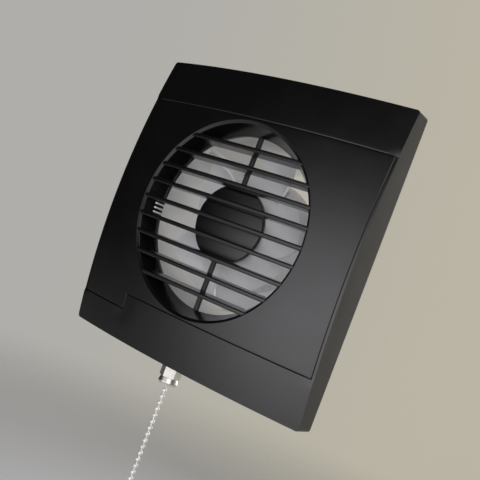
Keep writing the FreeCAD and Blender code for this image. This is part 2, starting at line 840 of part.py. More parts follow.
def build_motor_bracket(hole):
    """Motor bracket: a cup for the motor on four arms that are pressed into the duct tube."""
    body = new_body("motor_bracket_body")
    strut = pad(
        body,
        "strut",
        "-strut_back",
        "strut_back - strut_front",
        [diagonal_rectangle(
            "pod_radius - pod_wall / 2", "throat_radius - strut_clearance", "strut_width / 2",
        )],
    )
    boss = "bearing_radius + fit_clearance"
    turn(
        body,
        "motor_pod",
        [
            (boss, "pod_front"),
            ("pod_radius", "pod_front"),
            ("pod_radius", "pod_back"),
            ("pod_radius - pod_wall", "pod_back"),
            ("pod_radius - pod_wall", "stator_front"),
            ("pod_radius - pod_wall - pod_seat", "stator_front"),
            ("pod_radius - pod_wall - pod_seat", "pod_front + pod_wall"),
            (f"{boss} + bearing_boss", "pod_front + pod_wall"),
            (f"{boss} + bearing_boss", "pod_front + bearing_inset + bearing_length"),
            (boss, "pod_front + bearing_inset + bearing_length"),
        ],
    )
    polar(body, "struts", strut, STRUT_COUNT)
    ears = [("ear_radius", "ear_place", "0"), ("ear_radius", "-ear_place", "0")]
    pad(body, "pod_ears", "-pod_back", "ear_length", circles=ears)
    room = new_body("channel_room_body")
    pad(
        room,
        "channel_room",
        "-(channel_end + fit_clearance)",
        "channel_end",
        [diagonal_rectangle(
            "channel_inner - fit_clearance", "spigot_radius", "channel_width / 2 + fit_clearance",
        )],
    )
    ear_holes = [
        cylinder(
            f"ear_screw_hole_{side}".replace("-", "m"),
            "screw_radius + screw_clearance",
            "screw_length + overrun",
            (f"{side} * ear_place", "pod_back + overrun", "0"),
            Vector(0, -1, 0),
        )
        for side in (-1, 1)
    ]
    label(cut("motor_bracket_solid", body, [room, hole] + ear_holes), "motor_bracket")


def housing_tools():
    """Returns what is cut out of the base plate and its skirt: holes and the windows of the catches."""
    front = Vector(0, -1, 0)
    through = "plate_skin + 2 * overrun"
    tools = [
        cylinder(
            f"wall_hole_{right}_{up}".replace("-", "m"),
            "screw_hole / 2",
            through,
            (f"{right} * screw_spacing / 2", "overrun", f"{up} * screw_spacing / 2"),
            front,
        )
        for right in (-1, 1)
        for up in (-1, 1)
    ]
    cable_spot = ("-cable_place", "overrun", "cable_height")
    tools.append(cylinder("cable_hole_tool", "cable_hole", through, cable_spot, front))
    for side in (-1, 1):
        tools.append(cylinder(
            f"clamp_screw_hole_{side}".replace("-", "m"),
            "screw_radius + screw_clearance",
            "clamp_boss_height",
            ("-clamp_place", "-plate_skin / 2", f"cable_height + {side} * clamp_spacing / 2"),
            front,
        ))
        for level in (-1, 1):
            tools.append(box(
                f"catch_window_{side}_{level}".replace("-", "m"),
                (
                    "skirt_wall + 2 * overrun",
                    "catch_height + 2 * catch_clearance",
                    "catch_length + 2 * catch_clearance",
                ),
                (
                    f"{side} * ({PLATE_HALF} - skirt_wall / 2) - skirt_wall / 2 - overrun",
                    "-(catch_front + catch_clearance)",
                    f"{level} * (catch_place + catch_length / 2) - catch_length / 2 - catch_clearance",
                ),
            ))
    tools.append(cylinder(
        "switch_hole",
        "bush_radius + bush_clearance",
        "skirt_wall + 2 * overrun",
        ("-switch_place", "-switch_depth", f"-({PLATE_HALF} + overrun)"),
    ))
    return tools


def wire_groove():
    """Returns the groove in which the motor lead runs along the duct wall."""
    groove = new_body("wire_groove_body")
    pad(
        groove,
        "wire_groove",
        f"-({WIRE_TURN} + wire_radius + wire_clearance)",
        f"{WIRE_TURN} + wire_radius + wire_clearance + skirt_height",
        [diagonal_rectangle(
            f"{WIRE_CHANNEL} - wire_radius - wire_clearance",
            f"{COLLAR} + collar_flange + overrun",
            "channel_groove / 2",
        )],
    )
    return groove


def lead_hole():
    """Returns the hole through which the motor lead reaches the pod."""
    x, z = diagonal("spigot_radius", "0")
    return cylinder(
        "lead_hole",
        "wire_radius + 2 * wire_clearance",
        "spigot_radius - pod_radius + pod_wall + pod_seat + overrun",
        (x, WIRE_TURN, z),
        Vector(1, 0, -1),
    )


def blade_section(radius, chord, camber, pitch, sweep):
    """Returns the flat outline of one blade at a radius: two parallel curves and two short ends."""
    half = chord / 2
    thickness = value("blade_thickness")
    lean = math.radians(pitch)
    turn_by = math.radians(sweep)
    middle = value("blade_middle")

    def spot(along, lift):
        """Maps a point of the section to its place in the plane that faces the axis."""
        around = along * math.cos(lean) - lift * math.sin(lean)
        depth = along * math.sin(lean) + lift * math.cos(lean)
        x = radius * math.cos(turn_by) - around * math.sin(turn_by)
        z = radius * math.sin(turn_by) + around * math.cos(turn_by)
        return Vector(x, middle + depth, z)

    chord_shares = (-1, -0.5, 0, 0.5, 1)
    upper = [spot(share * half, camber * (1 - share ** 2) + thickness / 2) for share in chord_shares]
    lower = [spot(-share * half, camber * (1 - share ** 2) - thickness / 2) for share in chord_shares]
    upper_curve = Part.BSplineCurve()
    upper_curve.interpolate(upper)
    lower_curve = Part.BSplineCurve()
    lower_curve.interpolate(lower)
    edges = [
        upper_curve.toShape(),
        Part.makeLine(upper[-1], lower[0]),
        lower_curve.toShape(),
        Part.makeLine(lower[-1], upper[0]),
    ]
    return Part.Wire(edges)


def build_impeller():
    """Impeller: a cup-shaped hub with broad, twisted and swept blades."""
    hub = new_body("impeller_hub")
    bore = "shaft_radius + fit_clearance"
    turn(
        hub,
        "impeller_hub_turned",
        [
            (bore, "-(hub_front - hub_recess_depth)"),
            ("hub_recess_radius", "-(hub_front - hub_recess_depth)"),
            ("hub_recess_radius", "-hub_front"),
            ("hub_nose_radius", "-hub_front"),
            ("hub_radius", "hub_shoulder"),
            ("hub_radius", "hub_back"),
            ("hub_radius - hub_wall", "hub_back"),
            ("hub_radius - hub_wall", "hub_shoulder"),
            ("hub_nose_radius - hub_wall", "-(hub_front - hub_wall)"),
            ("hub_recess_radius + hub_wall", "-(hub_front - hub_wall)"),
            ("hub_recess_radius + hub_wall", "hub_boss_back"),
            (bore, "hub_boss_back"),
        ],
    )
    root = value("blade_root_plane")
    tip = value("blade_tip_radius + blade_trim")
    sections = []
    for share in (0.0, 0.5, 1.0):
        sections.append(blade_section(
            root + (tip - root) * share,
            value("blade_root_chord") + value("blade_tip_chord - blade_root_chord") * share,
            value("blade_root_camber") + value("blade_tip_camber - blade_root_camber") * share,
            BLADE_ROOT_PITCH + (BLADE_TIP_PITCH - BLADE_ROOT_PITCH) * share,
            BLADE_TIP_SWEEP * share ** 2,
        ))
    length = value("hub_front + hub_back")
    start = Vector(0, -value("hub_front"), 0)
    along = Vector(0, 1, 0)
    swept = Part.makeCylinder(value("blade_tip_radius"), length, start, along)
    core_corners = [
        ("0", "-hub_front"),
        ("hub_nose_radius - hub_wall / 2", "-hub_front"),
        ("hub_radius - hub_wall / 2", "hub_shoulder"),
        ("hub_radius - hub_wall / 2", "hub_back"),
        ("0", "hub_back"),
    ]
    core_points = [Vector(value(radius), value(depth), 0) for radius, depth in core_corners]
    core_face = Part.Face(Part.makePolygon(core_points + core_points[:1]))
    core = core_face.revolve(Vector(), along, 360)
    blade = Part.makeLoft(sections, True, False).common(swept.cut(core))
    solid = hub.Shape
    for index in range(BLADE_COUNT):
        copy = blade.copy()
        copy.rotate(Vector(), along, 360 * index / BLADE_COUNT)
        solid = solid.fuse(copy)
    impeller = DOC.addObject("Part::Feature", "impeller_solid")
    impeller.Shape = solid.removeSplitter()
    label(impeller, "impeller")


def build_shaft_group():
    """Shaft with its rotor, washers and the nut that holds the impeller."""
    shaft_start = ("0", "-shaft_front", "0")
    shaft_length = "shaft_front + shaft_back"
    label(cylinder("shaft_solid", "shaft_radius", shaft_length, shaft_start, Vector(0, 1, 0)), "motor_shaft")
    nut = DOC.addObject("Part::Prism", "impeller_nut_prism")
    nut.Polygon = 6
    nut.Placement = Placement(Vector(), Rotation(Vector(0, 0, 1), Vector(0, 1, 0)))
    bind(nut, Circumradius="impeller_nut_flats / sqrt(3)", Height="impeller_nut_height")
    place(nut, y="-(hub_front - hub_recess_depth + impeller_nut_height)")
    nut_bore = cylinder(
        "impeller_nut_bore",
        "shaft_radius + fit_clearance",
        "impeller_nut_height + 2 * overrun",
        ("0", "-(hub_front - hub_recess_depth + impeller_nut_height + overrun)", "0"),
        Vector(0, 1, 0),
    )
    label(cut("impeller_nut_solid", nut, [nut_bore]), "impeller_nut")
    core_span = ("stator_front", STATOR_BACK)
    build_ring_group("rotor_core", "shaft_radius + fit_clearance", "rotor_radius", [core_span])
    ring_inside = "rotor_radius - end_ring_wall"
    ring_spans = [
        ("stator_front - end_ring_length", "stator_front"),
        (STATOR_BACK, f"{STATOR_BACK} + end_ring_length"),
    ]
    build_ring_group("rotor_end_rings", ring_inside, "rotor_radius", ring_spans)
    front_washer = "pod_front + bearing_inset + bearing_length + washer_gap"
    rear_washer = f"{REAR_BEARING} - washer_gap - washer_thickness"
    washer_spans = [
        (front_washer, f"{front_washer} + washer_thickness"),
        (rear_washer, f"{rear_washer} + washer_thickness"),
    ]
    build_ring_group("thrust_washers", "shaft_radius + fit_clearance", "washer_radius", washer_spans)


def build_ring_group(name, inside, outside, spans):
    """One node of plain rings about the duct axis, one ring for each span along it."""
    rings = []
    for index, (start, end) in enumerate(spans):
        body = new_body(f"{name}_{index}")
        turn(body, f"{name}_{index}_turned", rectangle(inside, outside, start, end))
        rings.append(body)
    if len(rings) == 1:
        label(rings[0], name)
        return
    group = DOC.addObject("Part::Compound", f"{name}_group")
    group.Links = rings
    label(group, name)


def build_stator():
    """Stator: a yoke ring with four poles and their shoes, and a coil on each pole."""
    body = new_body("stator_body")
    yoke = [("stator_radius",), ("yoke_inside",)]
    pad(body, "stator_yoke_ring", f"-{STATOR_BACK}", "stator_length", circles=yoke)
    pole_start = "stator_bore + pole_shoe_depth / 2"
    pole_end = "yoke_inside + stator_yoke / 2"
    pole = pad(
        body,
        "stator_pole",
        f"-{STATOR_BACK}",
        "stator_length",
        [diagonal_rectangle(pole_start, pole_end, "pole_width / 2")],
    )
    polar(body, "stator_poles", pole, POLE_COUNT)
    shoe = pad(
        body,
        "pole_shoe",
        f"-{STATOR_BACK}",
        "stator_length",
        [diagonal_rectangle(
            "stator_bore - pole_shoe_depth / 2", "stator_bore + pole_shoe_depth", "pole_shoe_width / 2",
        )],
    )
    polar(body, "pole_shoes", shoe, POLE_COUNT)
    bore = cylinder(
        "stator_bore_tool",
        "stator_bore",
        "stator_length + 2 * overrun",
        ("0", "stator_front - overrun", "0"),
        Vector(0, 1, 0),
    )
    label(cut("stator_core_solid", body, [bore]), "stator_core")
    coil = new_body("coil_body")
    inner_half = "pole_width / 2 + coil_clearance"
    outer_half = f"{inner_half} + coil_build"
    coil_start = f"-({STATOR_BACK} + coil_clearance + coil_build)"
    coil_length = "stator_length + 2 * coil_clearance + 2 * coil_build"
    pad(
        coil,
        "coil_block",
        coil_start,
        coil_length,
        [diagonal_rectangle(COIL_INSIDE, f"{COIL_INSIDE} + coil_depth", outer_half)],
    )
    window = new_body("coil_window_body")
    pad(
        window,
        "coil_window",
        f"-({STATOR_BACK} + coil_clearance)",
        "stator_length + 2 * coil_clearance",
        [diagonal_rectangle(f"{COIL_INSIDE} - overrun", f"{COIL_INSIDE} + coil_depth + overrun", inner_half)],
    )
    first = cut("coil_first", coil, [window])
    DOC.recompute()
    coils = []
    for index in range(POLE_COUNT):
        copy = first.Shape.copy()
        copy.rotate(Vector(), Vector(0, 1, 0), 360 * index / POLE_COUNT)
        coils.append(copy)
    group = DOC.addObject("Part::Feature", "stator_coils_group")
    group.Shape = Part.makeCompound(coils)
    label(group, "stator_coils")


def build_bearings():
    """Two plain bushes: one in the pod's front wall, one in the rear cap."""
    bore = "shaft_radius + running_clearance"
    for name, start in (("front_bearing", "pod_front + bearing_inset"), ("rear_bearing", REAR_BEARING)):
        build_ring_group(name, bore, "bearing_radius", [(start, f"{start} + bearing_length")])


def build_motor_cap():
    """Rear cap of the pod: it carries the rear bush, and its lip holds the stator against its seat."""
    body = new_body("motor_cap_body")
    lip_outside = "pod_radius - pod_wall - cap_clearance"
    lip_inside = f"{lip_outside} - cap_lip"
    seat = "bearing_radius + fit_clearance"
    seat_floor = f"{REAR_BEARING} + bearing_length"
    back = "pod_back + cap_skin"
    turn(
        body,
        "motor_cap_turned",
        [
            ("0", back),
            ("0", seat_floor),
            (seat, seat_floor),
            (seat, REAR_BEARING),
            (f"{seat} + bearing_boss", REAR_BEARING),
            (f"{seat} + bearing_boss", "pod_back"),
            (lip_inside, "pod_back"),
            (lip_inside, STATOR_BACK),
            (lip_outside, STATOR_BACK),
            (lip_outside, "pod_back"),
            ("pod_radius", "pod_back"),
            ("pod_radius", back),
        ],
    )
    ears = [("ear_radius", "ear_place", "0"), ("ear_radius", "-ear_place", "0")]
    pad(body, "cap_ears", f"-({back})", "cap_skin", circles=ears)
    holes = [
        cylinder(
            f"cap_screw_hole_{side}".replace("-", "m"),
            "screw_radius + screw_clearance",
            "cap_skin + 2 * overrun",
            (f"{side} * ear_place", "pod_back - overrun", "0"),
            Vector(0, 1, 0),
        )
        for side in (-1, 1)
    ]
    label(cut("motor_cap_solid", body, holes), "motor_cap")
    seats = [(f"{side} * ear_place", back, "0") for side in (-1, 1)]
    build_screws("motor_cap_screws", seats, Vector(0, 1, 0))


def build_screws(name, seats, outward):
    """One node of pan-head screws, each with its head on a seat and its shank the other way."""
    screws = []
    for index, seat in enumerate(seats):
        head = cylinder(f"{name}_head_{index}", "screw_head_radius", "screw_head_height", seat, outward)
        shank = cylinder(f"{name}_shank_{index}", "screw_radius", "screw_length", seat, outward * -1)
        screws.append(fuse(f"{name}_{index}", [head, shank]))
    group = DOC.addObject("Part::Compound", f"{name}_group")
    group.Links = screws
    label(group, name)


def build_terminal_block():
    """Terminal block on the diagonal, with a well and a clamping screw for each of its three poles."""
    body = new_body("terminal_block_body")
    inner = "terminal_place - terminal_wide / 2"
    outer = "terminal_place + terminal_wide / 2"
    pad(
        body,
        "terminal_case",
        "plate_skin",
        "terminal_tall",
        [diagonal_rectangle(inner, outer, "terminal_long / 2")],
    )
    front = Vector(0, -1, 0)
    wells = []
    screws = []
    floor = "-(plate_skin + terminal_tall - terminal_well_depth)"
    well_depth = "terminal_well_depth + overrun"
    for index in range(TERMINAL_COUNT):
        across = f"{index - (TERMINAL_COUNT - 1) / 2} * terminal_pitch"
        x, z = diagonal("terminal_place", across)
        spot = (x, floor, z)
        wells.append(cylinder(f"terminal_well_{index}", "terminal_well", well_depth, spot, front))
        head = cylinder(
            f"terminal_head_{index}", "terminal_screw_radius", "terminal_screw_height", spot, front,
        )
        slot = new_body(f"terminal_slot_body_{index}")
        corners = [
            diagonal(f"terminal_place {near} terminal_well", f"{across} {side} terminal_slot / 2")
            for near, side in (("-", "-"), ("+", "-"), ("+", "+"), ("-", "+"))
        ]
        pad(
            slot,
            f"terminal_slot_{index}",
            f"-({floor}) + terminal_screw_height - terminal_slot",
            "terminal_slot + overrun",
            [corners],
        )
        screws.append(cut(f"terminal_screw_{index}", head, [slot]))
    label(cut("terminal_block_solid", body, wells), "terminal_block")
    group = DOC.addObject("Part::Compound", "terminal_screws_group")
    group.Links = screws
    label(group, "terminal_screws")


def build_cable_entry():
    """Grommet in the cable hole, and the bar with two screws that clamps the cable."""
    grommet = new_body("grommet_body")
    neck = "cable_hole - grommet_clearance"
    turn(
        grommet,
        "grommet_turned",
        [
            ("grommet_bore", "0"),
            (neck, "0"),
            (neck, "-(plate_skin + grommet_clearance)"),
            ("grommet_flange", "-(plate_skin + grommet_clearance)"),
            ("grommet_flange", "-(plate_skin + grommet_clearance + grommet_flange_skin)"),
            ("grommet_bore", "-(plate_skin + grommet_clearance + grommet_flange_skin)"),
        ],
    )
    place(grommet, "-cable_place", "0", "cable_height")
    label(grommet, "cable_grommet")
    bar_half = "(clamp_spacing / 2 + clamp_boss_radius)"
    bar = box(
        "clamp_bar",
        ("clamp_bar_width", "clamp_bar_skin", f"2 * {bar_half}"),
        (
            "-(clamp_place + clamp_bar_width / 2)",
            "-(clamp_boss_height + clamp_bar_skin)",
            f"cable_height - {bar_half}",
        ),
    )
    front = Vector(0, -1, 0)
    spots = [f"cable_height + {side} * clamp_spacing / 2" for side in (-1, 1)]
    holes = [
        cylinder(
            f"clamp_bar_hole_{index}",
            "screw_radius + screw_clearance",
            "clamp_bar_skin + 2 * overrun",
            ("-clamp_place", "-(clamp_boss_height - overrun)", spot),
            front,
        )
        for index, spot in enumerate(spots)
    ]
    label(cut("cable_clamp_solid", bar, holes), "cable_clamp")
    seats = [("-clamp_place", "-(clamp_boss_height + clamp_bar_skin)", spot) for spot in spots]
    screws = []
    for index, seat in enumerate(seats):
        head = cylinder(f"clamp_screw_head_{index}", "screw_head_radius", "screw_head_height", seat, front)
        shank = cylinder(
            f"clamp_screw_shank_{index}",
            "screw_radius",
            "clamp_bar_skin + clamp_boss_height - plate_skin",
            seat,
            front * -1,
        )
        screws.append(fuse(f"clamp_screw_{index}", [head, shank]))
    group = DOC.addObject("Part::Compound", "clamp_screws_group")
    group.Links = screws
    label(group, "clamp_screws")


def on_switch_axis(item):
    """Places a turned piece on the upright axis of the pull switch."""
    place(item, "-switch_place", "-switch_depth", "0")


def build_switch():
    """Pull switch: case, threaded bush, nut, flared mouth and plunger, on one upright axis."""
    case = box(
        "switch_case",
        ("switch_wide", "switch_deep", "switch_tall"),
        (
            "-(switch_place + switch_wide / 2)",
            "-(plate_skin + switch_seat_gap + switch_deep)",
            f"-{SWITCH_FLOOR}",
        ),
    )
    axis = ("-switch_place", "-switch_depth")
    seat = cylinder(
        "switch_bush_seat",
        "bush_radius + fit_clearance",
        "bush_seat + overrun",
        (*axis, f"-({SWITCH_FLOOR} + overrun)"),
    )
    cavity = cylinder(
        "switch_cavity_tool",
        "switch_cavity",
        f"{BUSH_TOP} - {SWITCH_TOP} - switch_roof",
        (*axis, f"-{BUSH_TOP}"),
    )
    label(cut("switch_body_solid", case, [seat, cavity]), "switch_body")

    bush = new_body("switch_bush_body")
    bush_low = f"-({HALF} + bush_end)"
    turn(
        bush,
        "switch_bush_turned",
        [
            ("bush_bore", f"-{BUSH_TOP}"),
            ("bush_radius", f"-{BUSH_TOP}"),
            ("bush_radius", bush_low),
            ("bush_bore", bush_low),
        ],
        "XZ_Plane",
    )
    on_switch_axis(bush)
    label(bush, "switch_bush")

    nut = DOC.addObject("Part::Prism", "switch_nut_prism")
    nut.Polygon = 6
    nut.Placement = Placement(Vector(), Rotation(Vector(0, 0, 1), 90))
    bind(nut, Circumradius="switch_nut_flats / sqrt(3)", Height="switch_nut_height")
    place(nut, *axis, f"-{NUT_END}")
    nut_bore = cylinder(
        "switch_nut_bore",
        "bush_radius + fit_clearance",
        "switch_nut_height + 2 * overrun",
        (*axis, f"-({NUT_END} + overrun)"),
    )
    label(cut("switch_nut_solid", nut, [nut_bore]), "switch_nut")

    mouth = new_body("bell_mouth_body")
    turn(
        mouth,
        "bell_mouth_turned",
        [
            ("bush_radius + fit_clearance", f"-{NUT_END}"),
            ("mouth_top_radius", f"-{NUT_END}"),
            ("mouth_lip_radius", f"-({NUT_END} + mouth_lip_drop)"),
            ("mouth_top_radius", f"-({NUT_END} + mouth_height)"),
            ("mouth_flare", f"-({NUT_END} + mouth_height)"),
            ("bush_bore", f"-({HALF} + bush_end + fit_clearance)"),
            ("bush_radius + fit_clearance", f"-({HALF} + bush_end + fit_clearance)"),
        ],
        "XZ_Plane",
    )
    on_switch_axis(mouth)
    label(mouth, "bell_mouth")

    plunger = new_body("switch_plunger_body")
    head_low = f"-({PLUNGER_TOP} + plunger_head_height)"
    turn(
        plunger,
        "switch_plunger_turned",
        [
            ("0", f"-{PLUNGER_TOP}"),
            ("plunger_head_radius", f"-{PLUNGER_TOP}"),
            ("plunger_head_radius", head_low),
            ("plunger_stem_radius", head_low),
            ("plunger_stem_radius", f"-{CHAIN_TOP}"),
            ("0", f"-{CHAIN_TOP}"),
        ],
        "XZ_Plane",
    )
    on_switch_axis(plunger)
    label(plunger, "switch_plunger")


def build_chain():
    """Chain as the round rod that its balls fill, and the pull at its end."""
    axis = ("-switch_place", "-switch_depth")
    label(
        cylinder("pull_chain_rod", "chain_radius", f"{CHAIN_END} - {CHAIN_TOP}", (*axis, f"-{CHAIN_END}")),
        "pull_chain",
    )
    bell = new_body("chain_bell_body")
    neck_share = 0.22
    waist_share = 0.45
    lip_share = 0.9
    turn(
        bell,
        "chain_bell_turned",
        [
            ("0", f"-{CHAIN_END}"),
            ("bell_top_radius", f"-{CHAIN_END}"),
            ("bell_top_radius", f"-({CHAIN_END} + {neck_share} * bell_height)"),
            ("(bell_top_radius + bell_radius) / 2", f"-({CHAIN_END} + {waist_share} * bell_height)"),
            ("bell_radius", f"-({CHAIN_END} + {lip_share} * bell_height)"),
            (f"{lip_share} * bell_radius", f"-({CHAIN_END} + bell_height)"),
            ("0", f"-({CHAIN_END} + bell_height)"),
        ],
        "XZ_Plane",
    )
    on_switch_axis(bell)
    label(bell, "chain_bell")


def lead_point(along, layer):
    """Returns a point of the switch lead in front of its own pole of the terminal block."""
    x, z = diagonal(along, "terminal_pitch")
    return Vector(value(x), layer, value(z))


def build_leads():
    """Two leads from the terminal block: one to the motor through the spigot wall, one to the switch."""
    radius = value("wire_radius")
    layer = -value(WIRE_LAYER)
    bend = value("wire_bend")
    block_face = value("terminal_place - terminal_wide / 2")
    channel = value(WIRE_CHANNEL)
    turn_back = value(WIRE_TURN)
    coil_face = value(f"{COIL_INSIDE} + coil_depth + wire_clearance")
    flat = [
        Vector(block_face, layer, 0),
        Vector(channel, layer, 0),
        Vector(channel, turn_back, 0),
        Vector(coil_face, turn_back, 0),
    ]
    path = rounded_path(flat, bend)
    path.rotate(Vector(), Vector(0, 1, 0), -CHANNEL_ANGLE)
    label(wire_along("motor_lead", path, radius), "motor_lead")

    start = lead_point("terminal_place - terminal_wide / 2", layer)
    first = lead_point("terminal_place - terminal_wide / 2 - lead_start_run", layer)
    end_height = -value(f"{SWITCH_TOP} + switch_tall / 2")
    end = Vector(-value("switch_place + switch_wide / 2"), layer, end_height)
    last = Vector(-value("switch_place + switch_wide / 2 + lead_end_run"), layer, end_height)
    lane = -value("cable_height")
    lane_top = Vector(lane, layer, value("lead_lane_top"))
    lane_low = Vector(lane, layer, -value("lead_lane_low"))
    path = rounded_path([start, first, lane_top, lane_low, last, end], bend)
    label(wire_along("switch_lead", path, radius), "switch_lead")


def check_and_write():
    """Stops if any object failed; then writes each piece to its own file."""
    DOC.recompute()
    for item in DOC.Objects:
        if "Invalid" in item.State or "Error" in item.State:
            raise ValueError(f"{item.Name} failed: {item.State}")
    os.makedirs("parts", exist_ok=True)
    for piece in PIECES:
        shape = piece.Shape
        if shape.isNull() or not shape.isValid():
            raise ValueError(f"{piece.Label} has no valid shape")
        shape.exportStep(os.path.join("parts", f"{piece.Label}.step"))
        print(f"{piece.Label}: {len(shape.Solids)} solid(s), {shape.Volume:.0f} mm3")


PIECES = []
fill_sheet()
build_cover_frame()
build_grille_panel()
build_throat_guard()
build_housing()
build_impeller()
build_shaft_group()
build_stator()
build_bearings()
build_motor_cap()
build_terminal_block()
build_cable_entry()
build_switch()
build_chain()
build_leads()
check_and_write()
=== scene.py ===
"""Looks of a square wall exhaust fan: glossy black domed front, pale body and impeller, pull chain.

Metres. The viewer looks along +Y at the front, +X is to the viewer's right and +Z is up.
"""
import json
import logging
import math
from contextlib import contextmanager
from dataclasses import dataclass
from enum import Enum
from typing import Callable, Iterator, Mapping, Sequence

import bmesh
import bpy
from mathutils import Matrix, Vector

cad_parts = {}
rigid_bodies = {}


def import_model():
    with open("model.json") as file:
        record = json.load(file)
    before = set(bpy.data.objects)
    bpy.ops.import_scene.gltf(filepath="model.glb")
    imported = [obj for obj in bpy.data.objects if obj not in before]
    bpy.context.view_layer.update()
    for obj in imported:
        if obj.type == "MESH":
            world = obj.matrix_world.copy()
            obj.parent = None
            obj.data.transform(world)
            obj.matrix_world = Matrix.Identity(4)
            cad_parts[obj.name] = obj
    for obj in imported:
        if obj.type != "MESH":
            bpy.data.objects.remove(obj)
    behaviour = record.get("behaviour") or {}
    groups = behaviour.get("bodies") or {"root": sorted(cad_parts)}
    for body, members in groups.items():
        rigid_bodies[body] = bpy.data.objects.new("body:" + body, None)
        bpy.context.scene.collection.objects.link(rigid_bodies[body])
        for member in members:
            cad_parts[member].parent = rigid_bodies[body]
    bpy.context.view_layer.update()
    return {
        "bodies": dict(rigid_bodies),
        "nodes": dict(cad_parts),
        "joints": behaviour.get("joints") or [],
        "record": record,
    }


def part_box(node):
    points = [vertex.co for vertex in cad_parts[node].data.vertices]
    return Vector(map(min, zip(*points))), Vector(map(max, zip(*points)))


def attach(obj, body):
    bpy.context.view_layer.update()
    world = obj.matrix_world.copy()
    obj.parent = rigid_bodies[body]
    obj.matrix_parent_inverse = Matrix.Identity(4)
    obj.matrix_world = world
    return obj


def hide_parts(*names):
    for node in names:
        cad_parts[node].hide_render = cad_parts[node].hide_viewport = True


LOG = logging.getLogger("exhaust_fan")
MM = 0.001
MERGE = 1e-6
FACING = -0.5
Point = tuple[float, float]
Triple = tuple[float, float, float]
Colour = Triple
Piece = bpy.types.Object
Socket = bpy.types.NodeSocket


class Body(Enum):
    """Rigid bodies that a piece can ride on."""

    FAN = "fan_body"
    ROTOR = "rotor"
    PULL = "pull"


class Slot(Enum):
    """Finishes that the modelled pieces take."""

    BLACK = "black_plastic"
    WHITE = "white_plastic"
    IMPELLER = "impeller_plastic"
    RUBBER = "grommet_rubber"
    ZINC = "zinc_steel"
    NICKEL = "nickel"
    SATIN = "satin_nickel"
    BELL = "bell_plastic"


class Element(Enum):
    """Kinds of mesh element that edit mode selects."""

    VERT = "VERT"
    EDGE = "EDGE"
    FACE = "FACE"


class Cut(Enum):
    """What a cutting tool leaves of a piece."""

    OUTSIDE = "DIFFERENCE"
    SHARED = "INTERSECT"


class Axis(Enum):
    """Axes that turned pieces are spun about."""

    DUCT = (0.0, 1.0, 0.0)
    UPRIGHT = (0.0, 0.0, 1.0)


class Growth(Enum):
    """Ways in which a share grows along a span."""

    STRAIGHT = "LINEAR"
    EASED = "SMOOTHSTEP"


class Blend(Enum):
    """Ways in which two colours are mixed."""

    OVER = "MIX"
    ADDED = "ADD"
    TIMES = "MULTIPLY"


def alone(obj: Piece) -> None:
    """Selects one object only and makes it active."""
    bpy.ops.object.select_all(action="DESELECT")
    obj.select_set(True)
    bpy.context.view_layer.objects.active = obj


def started(add: Callable[..., set[str]], name: str, **settings: object) -> Piece:
    """Adds a primitive to start a piece from, with nothing else selected.

    Args:
        add: the operator that adds it.
        name: the new object's name.
        settings: the operator's own settings.

    Returns:
        The new object.
    """
    bpy.ops.object.select_all(action="DESELECT")
    add(**settings)
    made = bpy.context.object
    made.name = name
    return made


def fixed(obj: Piece) -> Piece:
    """Puts an object's place, turn and scale into its mesh, and returns it."""
    alone(obj)
    bpy.ops.object.transform_apply(location=True, rotation=True, scale=True)
    return obj


def copied(model: Piece, spot: Sequence[float] = (0, 0, 0), turn: Sequence[float] = (0, 0, 0)) -> Piece:
    """Copies a model, with its own mesh.

    Args:
        model: the object to copy.
        spot: where the copy goes.
        turn: how the copy is turned about each axis.

    Returns:
        The copy, with its place in its mesh.
    """
    alone(model)
    bpy.ops.object.duplicate()
    copy = bpy.context.object
    copy.location = spot
    copy.rotation_euler = turn
    return fixed(copy)


@contextmanager
def editing(obj: Piece) -> Iterator[None]:
    """Opens an object in edit mode with everything selected."""
    alone(obj)
    bpy.ops.object.mode_set(mode="EDIT")
    bpy.ops.mesh.select_mode(type=Element.VERT.value)
    bpy.ops.mesh.select_all(action="SELECT")
    yield
    bpy.ops.object.mode_set(mode="OBJECT")


def middle_of(item: bmesh.types.BMEdge | bmesh.types.BMFace) -> Vector:
    """Returns the middle of an edge or face."""
    return sum((vert.co for vert in item.verts), Vector()) / len(item.verts)


def faces_viewer(face: bmesh.types.BMFace) -> bool:
    """Says whether a face looks towards the viewer rather than to a side."""
    return face.normal.y < FACING


def pick(obj: Piece, element: Element, test: Callable[[object], bool]) -> None:
    """Selects, in edit mode, the elements that pass a test.

    Args:
        obj: the object that is open in edit mode.
        element: the kind of element to look at.
        test: says whether an element is wanted.
    """
    bpy.ops.mesh.select_mode(type=element.value)
    bpy.ops.mesh.select_all(action="DESELECT")
    mesh = bmesh.from_edit_mesh(obj.data)
    items = {Element.VERT: mesh.verts, Element.EDGE: mesh.edges, Element.FACE: mesh.faces}[element]
    for item in [item for item in items if test(item)]:
        item.select_set(True)
    mesh.select_flush_mode()
    bmesh.update_edit_mesh(obj.data)


def face_outwards() -> None:
    """Turns all faces outwards, in edit mode."""
    bpy.ops.mesh.select_all(action="SELECT")
    bpy.ops.mesh.normals_make_consistent(inside=False)


def slice_at(point: Sequence[float], normal: Sequence[float]) -> None:
    """Adds edges, in edit mode, where a plane crosses the mesh."""
    bpy.ops.mesh.select_all(action="SELECT")
    bpy.ops.mesh.bisect(plane_co=point, plane_no=normal)


def apply_modifier(obj: Piece, kind: str, **settings: object) -> None:
    """Adds a modifier, sets its values and applies it.

    Args:
        obj: the object to change.
        kind: the modifier's type.
        settings: the modifier's own properties.
    """
    alone(obj)
    modifier = obj.modifiers.new(kind.lower(), kind)
    for name, value in settings.items():
        setattr(modifier, name, value)
    bpy.ops.object.modifier_apply(modifier=modifier.name)


